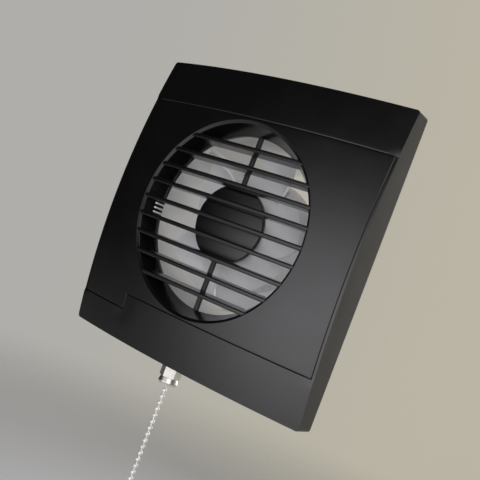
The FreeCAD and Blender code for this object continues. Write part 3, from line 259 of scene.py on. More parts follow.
def soften(obj: Piece, width: float, segments: int = 2, angle: float = 35.0) -> None:
    """Rounds the sharp edges of an object.

    Args:
        obj: the object to change.
        width: how wide the rounding is.
        segments: how many faces it has across.
        angle: the angle between faces, in degrees, from which an edge is sharp.
    """
    apply_modifier(
        obj, "BEVEL", width=width, segments=segments, limit_method="ANGLE",
        angle_limit=math.radians(angle), use_clamp_overlap=True,
    )


def smooth(obj: Piece, angle: float = 40.0) -> None:
    """Shades an object smooth up to an angle between faces, with its large faces kept even."""
    alone(obj)
    bpy.ops.object.shade_smooth_by_angle(angle=math.radians(angle), keep_sharp_edges=False)
    apply_modifier(obj, "WEIGHTED_NORMAL", mode="FACE_AREA", keep_sharp=True)


def combine(name: str, parts: Sequence[Piece]) -> Piece:
    """Joins several objects into the first one.

    Args:
        name: the name of the joined object.
        parts: the objects to join.

    Returns:
        The joined object.
    """
    alone(parts[0])
    for part in parts[1:]:
        part.select_set(True)
    bpy.ops.object.join()
    parts[0].name = name
    parts[0].data.name = name
    return parts[0]


def carve(obj: Piece, tool: Piece, cut: Cut = Cut.OUTSIDE) -> None:
    """Cuts an object with a tool and removes the tool."""
    apply_modifier(obj, "BOOLEAN", operation=cut.value, object=tool, solver="EXACT")
    bpy.data.objects.remove(tool)


def block(name: str, low: Sequence[float], high: Sequence[float]) -> Piece:
    """Adds a block between two corners.

    Args:
        name: the object's name.
        low: its lowest corner.
        high: its highest corner.

    Returns:
        The block's object.
    """
    middle = [(a + b) / 2 for a, b in zip(low, high)]
    made = started(bpy.ops.mesh.primitive_cube_add, name, size=1.0, location=middle)
    made.scale = [b - a for a, b in zip(low, high)]
    return fixed(made)


def cylinder(
    name: str, sides: int, radius: float, length: float,
    middle: Sequence[float] = (0, 0, 0), turn: Sequence[float] = (0, 0, 0),
) -> Piece:
    """Adds a cylinder.

    Args:
        name: the object's name.
        sides: how many sides it has.
        radius: its radius.
        length: its length.
        middle: the place of its middle.
        turn: how it is turned from upright.

    Returns:
        The cylinder's object.
    """
    return fixed(started(
        bpy.ops.mesh.primitive_cylinder_add, name,
        vertices=sides, radius=radius, depth=length, location=middle, rotation=turn,
    ))


def sheet_grid(name: str, x: Point, z: Point, cells: tuple[int, int]) -> Piece:
    """Adds an upright grid that faces the viewer.

    Args:
        name: the object's name.
        x: its left and right ends.
        z: its lower and upper ends.
        cells: how many cells it has across and upwards.

    Returns:
        The grid's object.
    """
    made = started(
        bpy.ops.mesh.primitive_grid_add, name,
        x_subdivisions=cells[0], y_subdivisions=cells[1], size=1.0, rotation=(math.pi / 2, 0, 0),
    )
    made.scale = (x[1] - x[0], z[1] - z[0], 1.0)
    made.location = (sum(x) / 2, 0.0, sum(z) / 2)
    return fixed(made)


def rounded(profile: Sequence[Triple], steps: int = 4) -> list[Point]:
    """Rounds the corners of a closed profile.

    Args:
        profile: its corners as two coordinates and the corner's radius.
        steps: how many edges each rounded corner gets.

    Returns:
        The points of the rounded profile.
    """
    points: list[Point] = []
    for index, (a, b, radius) in enumerate(profile):
        corner = Vector((a, b))
        if radius == 0:
            points.append((a, b))
            continue
        before = Vector(profile[index - 1][:2])
        after = Vector(profile[(index + 1) % len(profile)][:2])
        into = (before - corner).normalized()
        away = (after - corner).normalized()
        half = into.angle(away) / 2
        reach = radius / math.tan(half)
        centre = corner + (into + away).normalized() * (radius / math.sin(half))
        start = corner + into * reach - centre
        end = corner + away * reach - centre
        turn = start.angle_signed(end)
        for step in range(steps + 1):
            spot = start.copy()
            spot.rotate(Matrix.Rotation(-turn * step / steps, 2))
            points.append(tuple(centre + spot))
    return points


def turned(
    name: str, profile: Sequence[Point], axis: Axis,
    centre: Sequence[float] = (0.0, 0.0, 0.0), steps: int = 96,
) -> Piece:
    """Spins a closed profile into a solid ring or disc.

    Args:
        name: the object's name.
        profile: radius and place along the axis of each point, in order.
        axis: the axis to spin about.
        centre: a point on that axis.
        steps: how many steps make the full turn.

    Returns:
        The turned object, with its faces pointing outwards.
    """
    along = Vector(axis.value)
    out = Vector((1.0, 0.0, 0.0))
    spots = [Vector(centre) + out * radius + along * height for radius, height in profile]
    made = started(bpy.ops.mesh.primitive_plane_add, name, size=MM, location=(0, 0, 0))
    with editing(made):
        bpy.ops.mesh.merge(type="CENTER")
        bpy.ops.transform.translate(value=spots[0])
        for spot, following in zip(spots, spots[1:] + spots[:1]):
            bpy.ops.mesh.extrude_region_move(TRANSFORM_OT_translate={"value": following - spot})
        bpy.ops.mesh.select_all(action="SELECT")
        bpy.ops.mesh.remove_doubles(threshold=MERGE / 10)
        bpy.ops.mesh.spin(steps=steps, angle=2 * math.pi, center=centre, axis=axis.value)
        bpy.ops.mesh.select_all(action="SELECT")
        bpy.ops.mesh.remove_doubles(threshold=MERGE)
        bpy.ops.mesh.delete_loose(use_verts=True, use_edges=True, use_faces=False)
        face_outwards()
    return made


def eased(apart: float, reach: float) -> float:
    """Returns a share that falls smoothly from one to zero over a reach."""
    share = max(0.0, 1 - apart / reach)
    return share ** 2 * (3 - 2 * share)


class Nodes:
    """Builds one node tree."""

    def __init__(self, tree: bpy.types.NodeTree) -> None:
        """Starts with a tree."""
        self.tree = tree

    def feed(self, target: Socket, value: object) -> None:
        """Links a socket to an input, or sets the input to a plain value."""
        if isinstance(value, Socket):
            self.tree.links.new(value, target)
        else:
            target.default_value = value

    def add(
        self, kind: str, feeds: Mapping[str | int, object], **settings: object,
    ) -> bpy.types.Node:
        """Adds a node.

        Args:
            kind: the node's type.
            feeds: a socket or a plain value for each input, by name or number.
            settings: the node's own properties.

        Returns:
            The new node.
        """
        node = self.tree.nodes.new(kind)
        for name, value in settings.items():
            setattr(node, name, value)
        for name, value in feeds.items():
            self.feed(node.inputs[name], value)
        return node

    def ramp(
        self, source: Socket, span: Point, growth: Growth = Growth.EASED, result: Point = (0.0, 1.0),
    ) -> Socket:
        """Maps a span of values to a range of results.

        Args:
            source: the value.
            span: the values at which the range starts and ends.
            growth: the way in which the result grows.
            result: the results at the start and the end.

        Returns:
            The result.
        """
        limits = zip(("From Min", "From Max", "To Min", "To Max"), (*span, *result))
        feeds = {"Value": source, **dict(limits)}
        return self.add("ShaderNodeMapRange", feeds, interpolation_type=growth.value).outputs["Result"]

    def mix(
        self, share: Socket | float, first: Socket | Colour, second: Socket | Colour,
        blend: Blend = Blend.OVER,
    ) -> Socket:
        """Mixes two colours, each given as a colour or a socket.

        Args:
            share: how much of the second colour there is.
            first: the first colour.
            second: the second colour.
            blend: the way in which they are mixed.

        Returns:
            The mixed colour.
        """
        node = self.add(
            "ShaderNodeMix", {"Factor": share}, data_type="RGBA", blend_type=blend.value, clamp_result=False,
        )
        inputs = [socket for socket in node.inputs if socket.type == "RGBA"]
        for target, colour in zip(inputs, (first, second)):
            self.feed(target, colour if isinstance(colour, Socket) else (*colour, 1.0))
        return next(socket for socket in node.outputs if socket.type == "RGBA")


class Bench(Nodes):
    """Builds the node tree of one material."""

    NOISE_SPAN = (0.3, 0.7)

    def __init__(self, name: str) -> None:
        """Starts a material with a principled shader."""
        self.material = bpy.data.materials.new(name)
        self.material.use_nodes = True
        super().__init__(self.material.node_tree)
        self.shader = self.tree.nodes["Principled BSDF"]
        self.place = self.add("ShaderNodeTexCoord", {}).outputs["Object"]

    def put(self, values: Mapping[str, object]) -> None:
        """Sets or links inputs of the shader by name."""
        for name, value in values.items():
            self.feed(self.shader.inputs[name], value)

    def noise(self, scale: float, detail: float, stretch: Triple = (1.0, 1.0, 1.0)) -> Socket:
        """Makes a noise on object coordinates.

        Args:
            scale: how many features there are in a metre.
            detail: how many finer layers it has.
            stretch: scale of the coordinates along each axis.

        Returns:
            The noise's value.
        """
        mapping = self.add("ShaderNodeMapping", {"Scale": stretch, "Vector": self.place})
        feeds = {"Scale": scale, "Detail": detail, "Vector": mapping.outputs["Vector"]}
        return self.add("ShaderNodeTexNoise", feeds).outputs["Fac"]

    def patches(self, noise: Point, result: Point = (0.0, 1.0)) -> Socket:
        """Returns values that drift over the surface, by a noise's scale and detail."""
        return self.ramp(self.noise(*noise), self.NOISE_SPAN, Growth.STRAIGHT, result)

    def bump(self, height: Socket, strength: float, distance: float) -> None:
        """Gives the surface a fine relief."""
        feeds = {"Strength": strength, "Distance": distance, "Height": height}
        self.put({"Normal": self.add("ShaderNodeBump", feeds).outputs["Normal"]})


@dataclass(frozen=True)
class Moulded:
    """Moulded plastic with a fine spark-eroded grain and slight colour drift."""

    name: str
    colour: Colour
    drift: Colour
    roughness: Point
    grain: float = 0.10
    grain_scale: float = 2600.0
    glow_through: float = 0.0
    glow_radius: Triple = (1.0, 0.95, 0.9)
    glow_depth: float = 0.002
    tint_noise: Point = (34.0, 4.0)
    gloss_noise: Point = (75.0, 5.0)
    grain_detail: float = 2.0
    grain_depth: float = 0.00005

    def material(self) -> bpy.types.Material:
        """Returns the finish as a material."""
        bench = Bench(self.name)
        bench.put({
            "Base Color": bench.mix(bench.patches(self.tint_noise), self.colour, self.drift),
            "Roughness": bench.patches(self.gloss_noise, self.roughness),
            "Subsurface Weight": self.glow_through,
            "Subsurface Radius": self.glow_radius,
            "Subsurface Scale": self.glow_depth,
        })
        bench.bump(bench.noise(self.grain_scale, self.grain_detail), self.grain, self.grain_depth)
        return bench.material


@dataclass(frozen=True)
class Plated:
    """Metal with fine turning marks and patches of duller plating."""

    name: str
    colour: Colour
    drift: Colour
    roughness: Point
    stretch: Triple = (1.0, 1.0, 12.0)
    relief: float = 0.15
    tint_noise: Point = (260.0, 4.0)
    gloss_noise: Point = (420.0, 5.0)
    mark_noise: Point = (900.0, 3.0)
    mark_depth: float = 0.00005

    def material(self) -> bpy.types.Material:
        """Returns the finish as a material."""
        bench = Bench(self.name)
        bench.put({
            "Metallic": 1.0,
            "Base Color": bench.mix(bench.patches(self.tint_noise), self.colour, self.drift),
            "Roughness": bench.patches(self.gloss_noise, self.roughness),
        })
        bench.bump(bench.noise(*self.mark_noise, self.stretch), self.relief, self.mark_depth)
        return bench.material


@dataclass(frozen=True)
class Wound:
    """Wound wire or stacked sheet, ridged along one axis."""

    name: str
    colour: Colour
    drift: Colour
    roughness: float
    ridges: float
    tint_noise: Point = (300.0, 3.0)
    waver: float = 0.4
    relief: float = 0.5
    ridge_depth: float = 0.0002

    def material(self) -> bpy.types.Material:
        """Returns the finish as a material."""
        bench = Bench(self.name)
        bench.put({
            "Metallic": 1.0,
            "Roughness": self.roughness,
            "Base Color": bench.mix(bench.patches(self.tint_noise), self.colour, self.drift),
        })
        feeds = {"Scale": self.ridges, "Distortion": self.waver, "Vector": bench.place}
        wave = bench.add("ShaderNodeTexWave", feeds, wave_type="BANDS", bands_direction="Y")
        bench.bump(wave.outputs["Fac"], self.relief, self.ridge_depth)
        return bench.material


class Finishes:
    """All finishes of the fan, made once each and looked up by name."""

    RECIPES = (
        Moulded(
            "black_plastic", (0.0028, 0.0028, 0.0031), (0.0037, 0.0037, 0.0040), (0.18, 0.24),
            grain=0.04, grain_scale=3200.0,
        ),
        Moulded("white_plastic", (0.79, 0.79, 0.78), (0.755, 0.755, 0.74), (0.40, 0.50), grain=0.08),
        Moulded(
            "impeller_plastic", (0.80, 0.80, 0.82), (0.77, 0.77, 0.795), (0.26, 0.34),
            grain=0.03, glow_through=0.4,
        ),
        Plated("zinc_steel", (0.62, 0.62, 0.60), (0.54, 0.54, 0.53), (0.28, 0.42)),
        Plated("shaft_steel", (0.58, 0.58, 0.58), (0.52, 0.52, 0.52), (0.16, 0.24), (1.0, 14.0, 1.0)),
        Wound("stack_steel", (0.30, 0.30, 0.31), (0.22, 0.22, 0.23), 0.45, 320.0),
        Plated("rotor_aluminium", (0.66, 0.66, 0.67), (0.58, 0.58, 0.59), (0.35, 0.50)),
        Moulded("washer_plastic", (0.80, 0.79, 0.72), (0.76, 0.75, 0.68), (0.45, 0.55)),
        Wound("coil_copper", (0.55, 0.22, 0.09), (0.44, 0.16, 0.06), 0.28, 420.0),
        Plated("bearing_bronze", (0.48, 0.32, 0.15), (0.40, 0.26, 0.12), (0.38, 0.52)),
        Moulded("terminal_plastic", (0.76, 0.75, 0.69), (0.72, 0.71, 0.65), (0.45, 0.55)),
        Plated("terminal_brass", (0.62, 0.47, 0.20), (0.54, 0.40, 0.16), (0.26, 0.38)),
        Moulded(
            "grommet_rubber", (0.022, 0.022, 0.023), (0.030, 0.030, 0.030), (0.62, 0.74),
            grain=0.20, grain_scale=1500.0,
        ),
        Moulded("switch_plastic", (0.74, 0.73, 0.67), (0.70, 0.69, 0.63), (0.42, 0.52)),
        Plated("nickel", (0.68, 0.665, 0.63), (0.61, 0.595, 0.56), (0.26, 0.38)),
        Plated("satin_nickel", (0.88, 0.87, 0.85), (0.82, 0.81, 0.79), (0.62, 0.72)),
        Moulded("bell_plastic", (0.76, 0.76, 0.74), (0.72, 0.72, 0.69), (0.22, 0.30), grain=0.03),
        Moulded("wire_insulation", (0.60, 0.60, 0.58), (0.54, 0.54, 0.52), (0.36, 0.46)),
    )

    def __init__(self) -> None:
        """Makes every material."""
        self.made = {recipe.name: recipe.material() for recipe in self.RECIPES}

    def dress(self, obj: Piece, name: str) -> None:
        """Gives an object one finish by its name."""
        obj.data.materials.clear()
        obj.data.materials.append(self.made[name])


@dataclass
class Fan:
    """What every sub-assembly needs: the loaded frame and the finishes."""

    frame: dict
    finishes: Finishes
    flat_angle: float = 0.5
    edge_angle: float = 40.0
    smooth_angle: float = 32.0

    def settle(
        self, obj: Piece, body: Body, slot: Slot, replaced: Sequence[str] = (), finish: Slot | None = None,
    ) -> Piece:
        """Dresses a finished piece and ties it to the frame.

        Args:
            obj: the finished piece.
            body: the rigid body that it rides on.
            slot: the material slot that it takes its finish from.
            replaced: the solids that it stands for.
            finish: a finish other than the slot's own, or none.

        Returns:
            The same piece.
        """
        self.finishes.dress(obj, (finish or slot).value)
        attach(obj, body.value)
        if replaced:
            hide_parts(*replaced)
        LOG.info("%s: %d faces, rides on %s", obj.name, len(obj.data.polygons), body.value)
        return obj

    def copy_of(self, node: str, name: str, edge: float = 0.0) -> Piece:
        """Copies a solid, merged and smooth-shaded, with its sharp edges rounded.

        Args:
            node: the solid's name.
            name: the new piece's name.
            edge: width of the rounding, or zero for none.

        Returns:
            The copy.
        """
        made = bpy.data.objects.new(name, self.frame["nodes"][node].data.copy())
        made.data.name = name
        bpy.context.scene.collection.objects.link(made)
        with editing(made):
            bpy.ops.mesh.remove_doubles(threshold=MERGE)
            if edge:
                bpy.ops.mesh.dissolve_limited(angle_limit=math.radians(self.flat_angle))
        if edge:
            soften(made, edge, angle=self.edge_angle)
        smooth(made, self.smooth_angle)
        return made


@dataclass
class FrontShape:
    """Shared shape of the domed front."""

    width: float = 0.158
    depth: float = 0.0265
    corner_depth: float = 0.0103
    step: float = 0.0005

    @property
    def radius(self) -> float:
        """Radius of the domed face."""
        rise = self.depth - self.corner_depth
        return (self.width ** 2 / 2 + rise ** 2) / (2 * rise)

    def face(self, x: float, z: float, drop: float) -> float:
        """Returns the place along Y of the face, less a drop, at a point."""
        reach = self.radius - drop
        return self.radius - self.depth - math.sqrt(reach ** 2 - x ** 2 - z ** 2)

    def lay(self, obj: Piece, drop: float, dip: Callable[[float, float], float] | None = None) -> None:
        """Moves a flat mesh, whose Y is its depth below the face, onto the domed face.

        Args:
            obj: the object to move.
            drop: how far below the face all of it lies.
            dip: how much deeper a point lies, or none.
        """
        for vert in obj.data.vertices:
            depth = vert.co.y
            vert.co.z *= 1 - depth / self.radius
            deeper = dip(vert.co.x, vert.co.z) if dip else 0.0
            vert.co.y = self.face(vert.co.x, vert.co.z, drop + depth + deeper)


@dataclass
class CoverFrame:
    """Outer frame: four side walls with a band above and a band below the middle panel."""

    shape: FrontShape
    wall: float = 0.0022
    lip: float = 0.0013
    sunk_lips: float = 2.5
    seam_top: float = 0.0546
    seam_low: float = -0.0544
    seam_round: float = 0.0006
    seam_segments: int = 4
    seam_slack: Point = (0.00005, 0.000025)
    tab_low: float = -0.0628
    tab_right: float = -0.0410
    blend: float = 0.0100
    corner: float = 0.0016
    corner_segments: int = 5
    corner_slack: float = 0.00001
    edge: float = 0.00028
    edge_segments: int = 3
    cells: int = 64
    rim_walls: float = 3.0
    ledge_out: float = 0.0012
    ledge_in: float = 0.0014
    ledge_drop: float = 0.0028
    ledge_skin: float = 0.0015
    notch: float = 0.0042
    notch_sides: int = 48
    notch_back: float = 0.1

    def in_window(self, spot: Vector, grow: float = 0.0) -> bool:
        """Says whether a point lies in the opening for the middle panel, grown by a margin."""
        if abs(spot.x) > self.shape.width / 2 - self.lip + grow:
            return False
        low = self.tab_low if spot.x < self.tab_right + grow else self.seam_low
        return low - grow < spot.z < self.seam_top + grow

    def planes(self, grow: float = 0.0) -> list[tuple[Triple, Triple]]:
        """Lists the planes along the window's outline.

        Args:
            grow: the margin by which the window is grown.

        Returns:
            A point and a normal of each plane.
        """
        side = self.shape.width / 2 - self.lip + grow
        heights = (self.seam_top + grow, self.seam_low - grow, self.tab_low - grow)
        level = [((0.0, 0.0, height), (0.0, 0.0, 1.0)) for height in heights]
        places = (-side, side, self.tab_right + grow)
        return level + [((place, 0.0, 0.0), (1.0, 0.0, 0.0)) for place in places]

    def dip(self, x: float, z: float) -> float:
        """Returns how far the face sinks to the panel's level: at the side lips and by the tab's end."""
        bottom = self.tab_low if x < 0 else self.seam_low
        if abs(x) > self.shape.width / 2 - self.sunk_lips * self.lip and bottom < z < self.seam_top:
            return self.shape.step
        apart = max(self.tab_low - z, z - self.seam_low, 0.0)
        return self.shape.step * eased(abs(x - self.tab_right), self.blend) * eased(apart, self.blend)

    def on_seam(self, spot: Vector) -> bool:
        """Says whether a point lies on the front edge of the upper band, along the seam."""
        off_face = abs(spot.y - self.shape.face(spot.x, spot.z, 0.0))
        return off_face < self.seam_slack[0] and abs(spot.z - self.seam_top) < self.seam_slack[1]

    def sheet(self, name: str, half: float) -> Piece:
        """Returns a flat square grid that the frame or its ledge is made from."""
        return sheet_grid(name, (-half, half), (-half, half), (self.cells, self.cells))

    def slice_window(self, frame: Piece) -> None:
        """Adds edges to the domed face, in edit mode, along the window's outline."""
        reach = self.shape.width / 2 - self.rim_walls * self.wall
        for point, normal in self.planes():
            pick(frame, Element.FACE, lambda face: faces_viewer(face) and abs(middle_of(face).z) < reach)
            bpy.ops.mesh.bisect(plane_co=point, plane_no=normal)

    def build_shell(self) -> Piece:
        """Returns the domed bands with their four walls, before they get their thickness."""
        half = self.shape.width / 2
        near = half - self.corner_slack
        frame = self.sheet("front_frame", half)
        self.shape.lay(frame, 0.0, self.dip)
        with editing(frame):
            pick(frame, Element.EDGE, lambda edge: edge.is_boundary)
            bpy.ops.mesh.extrude_edges_move()
            bpy.ops.transform.resize(value=(1, 0, 1), center_override=(0, 0, 0))
            pick(
                frame, Element.EDGE,
                lambda edge: all(min(abs(vert.co.x), abs(vert.co.z)) > near for vert in edge.verts),
            )
            bpy.ops.mesh.bevel(offset=self.corner, segments=self.corner_segments, affect="EDGES")
            face_outwards()
            self.slice_window(frame)
            pick(frame, Element.FACE, lambda face: faces_viewer(face) and self.in_window(middle_of(face)))
            bpy.ops.mesh.delete(type="FACE")
        return frame

    def build_ledge(self) -> Piece:
        """Returns the ledge behind the seams, on which the middle panel rests."""
        ledge = self.sheet("frame_ledge", self.shape.width / 2 - self.wall / 2)
        with editing(ledge):
            for plane in self.planes(self.ledge_out) + self.planes(-self.ledge_in):
                slice_at(*plane)
            pick(
                ledge, Element.FACE,
                lambda face: self.in_window(middle_of(face), -self.ledge_in)
                or not self.in_window(middle_of(face), self.ledge_out),
            )
            bpy.ops.mesh.delete(type="FACE")
        self.shape.lay(ledge, self.ledge_drop)
        apply_modifier(ledge, "SOLIDIFY", thickness=self.ledge_skin, offset=-1.0)
        return ledge

    def build_notch(self) -> Piece:
        """Returns the tool that opens the lower wall for the neck of the switch."""
        low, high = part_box("switch_nut")
        x, y = (low[0] + high[0]) / 2, (low[1] + high[1]) / 2
        reach = 2 * self.wall
        spot = (x, y, -self.shape.width / 2)
        tool = cylinder("neck_notch", self.notch_sides, self.notch, 2 * reach, spot)
        with editing(tool):
            pick(tool, Element.FACE, lambda face: face.normal.y > self.notch_back)
            bpy.ops.mesh.extrude_region_move(TRANSFORM_OT_translate={"value": (0, reach - y, 0)})
        return tool

    def build(self, fan: Fan) -> None:
        """Models the frame and dresses it.

        Args:
            fan: the frame and the finishes.
        """
        frame = self.build_shell()
        apply_modifier(frame, "SOLIDIFY", thickness=self.wall, offset=-1.0, use_even_offset=True)
        with editing(frame):
            pick(frame, Element.EDGE, lambda edge: all(self.on_seam(vert.co) for vert in edge.verts))
            bpy.ops.mesh.bevel(offset=self.seam_round, segments=self.seam_segments, affect="EDGES")
        soften(frame, self.edge, self.edge_segments)
        carve(frame, self.build_notch())
        made = combine("front_frame", [frame, self.build_ledge()])
        smooth(made)
        fan.settle(made, Body.FAN, Slot.BLACK, ["cover_frame"])


@dataclass
class Keys:
    """Three keys of the duct tube that lock into slots of the throat, at the viewer's left."""

    count: int = 3
    first: float = -0.0025
    pitch: float = 0.0024
    width: float = 0.0009
    clearance: float = 0.00015
    outer: float = 0.0502
    inner: float = 0.0464
    front: float = -0.01625

    def open_slots(self, ring: Piece, back: float) -> None:
        """Cuts the keys' slots into a ring.

        Args:
            ring: the ring to cut.
            back: the place along Y where the slots end.
        """
        half = self.width / 2 + self.clearance
        for index in range(self.count):
            height = self.first - index * self.pitch
            low = (-self.outer, self.front, height - half)
            carve(ring, block("key_slot", low, (-self.inner, back, height + half)))


@dataclass
class GrillePanel:
    """Middle panel with its round opening, throat and nine slats."""

    shape: FrontShape
    keys: Keys
    half_width: float = 0.0774
    top: float = 0.0544
    low: float = -0.05395
    tab_low: float = -0.06235
    tab_right: float = -0.04108
    cells: tuple[int, int] = (64, 48)
    skin: float = 0.0020
    edge: float = 0.00025
    opening: float = 0.0522
    bevel: float = 0.0010
    bevel_round: float = 0.00018
    overlap: float = 0.00002
    throat: float = 0.0475
    throat_back: float = -0.0127
    throat_wall: float = 0.0016
    throat_round: float = 0.0003
    slats: int = 9
    pitch: float = 0.00972
    slat: float = 0.0023
    slat_depth: float = 0.0100
    slat_edge: float = 0.00070
    slat_bite: float = 0.0009
    slat_cells: int = 44
    slat_segments: int = 4
    slat_sharp: float = 60.0
    steps: int = 160
    round_steps: int = 5

    def throat_at(self, y: float) -> float:
        """Returns the throat's inner radius at a place along Y."""
        mouth = self.shape.face(self.opening, 0, self.shape.step)
        slope = (self.opening - self.throat) / (self.throat_back - mouth)
        return self.throat + (self.throat_back - y) * slope

    def build_skin(self) -> Piece:
        """Returns the domed skin with its outline, tab and round hole."""
        sides = (-self.half_width, self.half_width)
        skin = sheet_grid("panel_skin", sides, (self.tab_low, self.top), self.cells)
        with editing(skin):
            slice_at((0, 0, self.low), (0, 0, 1))
            slice_at((self.tab_right, 0, 0), (1, 0, 0))
            pick(
                skin, Element.FACE,
                lambda face: middle_of(face).z < self.low and middle_of(face).x > self.tab_right,
            )
            bpy.ops.mesh.delete(type="FACE")
        self.shape.lay(skin, self.shape.step)
        apply_modifier(skin, "SOLIDIFY", thickness=self.skin, offset=-1.0)
        soften(skin, self.edge)
        carve(skin, cylinder(
            "round_hole", self.steps, self.opening + self.bevel, self.shape.depth * 2,
            (0, -self.shape.depth, 0), (math.pi / 2, 0, 0),
        ))
        smooth(skin)
        return skin

    def build_throat(self) -> Piece:
        """Returns the tapered throat with its bevelled lip and the slots of the keys."""
        outer = self.opening + self.bevel + self.overlap
        lip = self.shape.face(outer, 0, self.shape.step)
        profile = rounded([
            (outer, lip, 0.0),
            (self.throat_at(lip + self.bevel), lip + self.bevel, self.bevel_round),
            (self.throat, self.throat_back, self.throat_round),
            (self.throat + self.throat_wall, self.throat_back, self.throat_round),
            (outer, lip + self.skin, 0.0),
        ], self.round_steps)
        made = turned("throat_ring", profile, Axis.DUCT, steps=self.steps)
        self.keys.open_slots(made, self.throat_back + self.throat_wall)
        smooth(made)
        return made

    def build_slat(self, index: int) -> Piece:
        """Models one slat that follows the dome and ends in the throat's wall.

        Args:
            index: the slat's number, from zero at the bottom.

        Returns:
            The slat's object.
        """
        height = (index - (self.slats - 1) / 2) * self.pitch
        edges = (height - self.slat / 2, height + self.slat / 2)
        bar = sheet_grid(f"slat_{index + 1}", (-1.0, 1.0), edges, (self.slat_cells, 1))
        with editing(bar):
            bpy.ops.mesh.extrude_region_move(TRANSFORM_OT_translate={"value": (0, self.slat_depth, 0)})
            face_outwards()
        self.fit_ends(bar)
        soften(bar, self.slat_edge, self.slat_segments, self.slat_sharp)
        self.shape.lay(bar, self.shape.step)
        smooth(bar)
        return bar

    def fit_ends(self, bar: Piece) -> None:
        """Draws a bar of half length one in, so that its ends follow the throat's wall."""
        for vert in bar.data.vertices:
            place = self.shape.face(self.opening, 0, self.shape.step + vert.co.y)
            reach = self.throat_at(place) + self.slat_bite
            vert.co.x *= math.sqrt(reach ** 2 - vert.co.z ** 2)

    def build(self, fan: Fan) -> None:
        """Models the panel and dresses it.

        Args:
            fan: the frame and the finishes.
        """
        fan.settle(self.build_skin(), Body.FAN, Slot.BLACK, ["grille_panel"])
        fan.settle(self.build_throat(), Body.FAN, Slot.BLACK)
        bars = [self.build_slat(index) for index in range(self.slats)]
        fan.settle(combine("slats", bars), Body.FAN, Slot.BLACK)


@dataclass
class ThroatGuard:
    """Disc in front of the impeller, its upright arms and the ring behind the throat."""

    keys: Keys
    ring_inner: float = 0.0475
    ring_outer: float = 0.0507
    ring_back: float = -0.0105
    ring_front: float = -0.0127
    ring_steps: int = 128
    disc: float = 0.0212
    disc_front: float = -0.0136
    disc_back: float = -0.0098
    skin: float = 0.0016
    dome: float = 0.0013
    dome_steps: int = 8
    edge: float = 0.0003
    rim_edge: float = 0.0004
    edge_steps: int = 3
    arm: float = 0.0023
    arm_bites: Point = (0.0004, 0.0006)

    def build_ring(self) -> Piece:
        """Returns the ring behind the throat, with the slots of the keys."""
        ring = turned("guard_ring", rounded([
            (self.ring_inner, self.ring_back, self.edge),
            (self.ring_outer, self.ring_back, self.edge),
            (self.ring_outer, self.ring_front, self.edge),
            (self.ring_inner, self.ring_front, self.edge),
        ], self.edge_steps), Axis.DUCT, steps=self.ring_steps)
        self.keys.open_slots(ring, self.ring_back + self.skin)
        return ring

    def build_disc(self) -> Piece:
        """Returns the hollow disc with its slightly domed face."""
        inner = self.disc - self.skin
        rim = self.disc_front + self.dome
        shares = [step / self.dome_steps for step in range(self.dome_steps)]
        return turned("guard_disc", rounded([
            *((self.disc * share, self.disc_front + self.dome * share ** 2, 0.0) for share in shares),
            (self.disc, rim, self.rim_edge),
            (self.disc, self.disc_back, self.edge),
            (inner, self.disc_back, self.edge),
            (inner, rim + self.skin / 2, 0.0),
            (0.0, self.disc_front + self.skin, 0.0),
        ]), Axis.DUCT)

    def build_arm(self, side: int) -> Piece:
        """Models one arm between the disc and the ring.

        Args:
            side: -1 for the lower arm and 1 for the upper one.

        Returns:
            The arm's object.
        """
        start = self.disc - self.skin + self.arm_bites[0]
        low, high = sorted((side * start, side * (self.ring_inner + self.arm_bites[1])))
        half = self.arm / 2
        arm = block("guard_arm", (-half, self.ring_front, low), (half, self.ring_back, high))
        soften(arm, self.edge, self.edge_steps)
        return arm

    def build(self, fan: Fan) -> None:
        """Models the guard and dresses it.

        Args:
            fan: the frame and the finishes.
        """
        parts = [self.build_ring(), self.build_disc(), self.build_arm(-1), self.build_arm(1)]
        guard = combine("guard", parts)
        smooth(guard)
        fan.settle(guard, Body.FAN, Slot.BLACK, ["throat_guard"])


@dataclass
class PullLine:
    """Upright line that the neck of the switch and its chain share."""

    x: float = -0.0022
    y: float = -0.00899

    def at(self, height: float) -> Triple:
        """Returns the line's point at a height."""
        return (self.x, self.y, height)

    def spun(self, name: str, profile: Sequence[Point], steps: int) -> Piece:
        """Returns a piece that is turned about the line."""
        return turned(name, profile, Axis.UPRIGHT, self.at(0.0), steps)


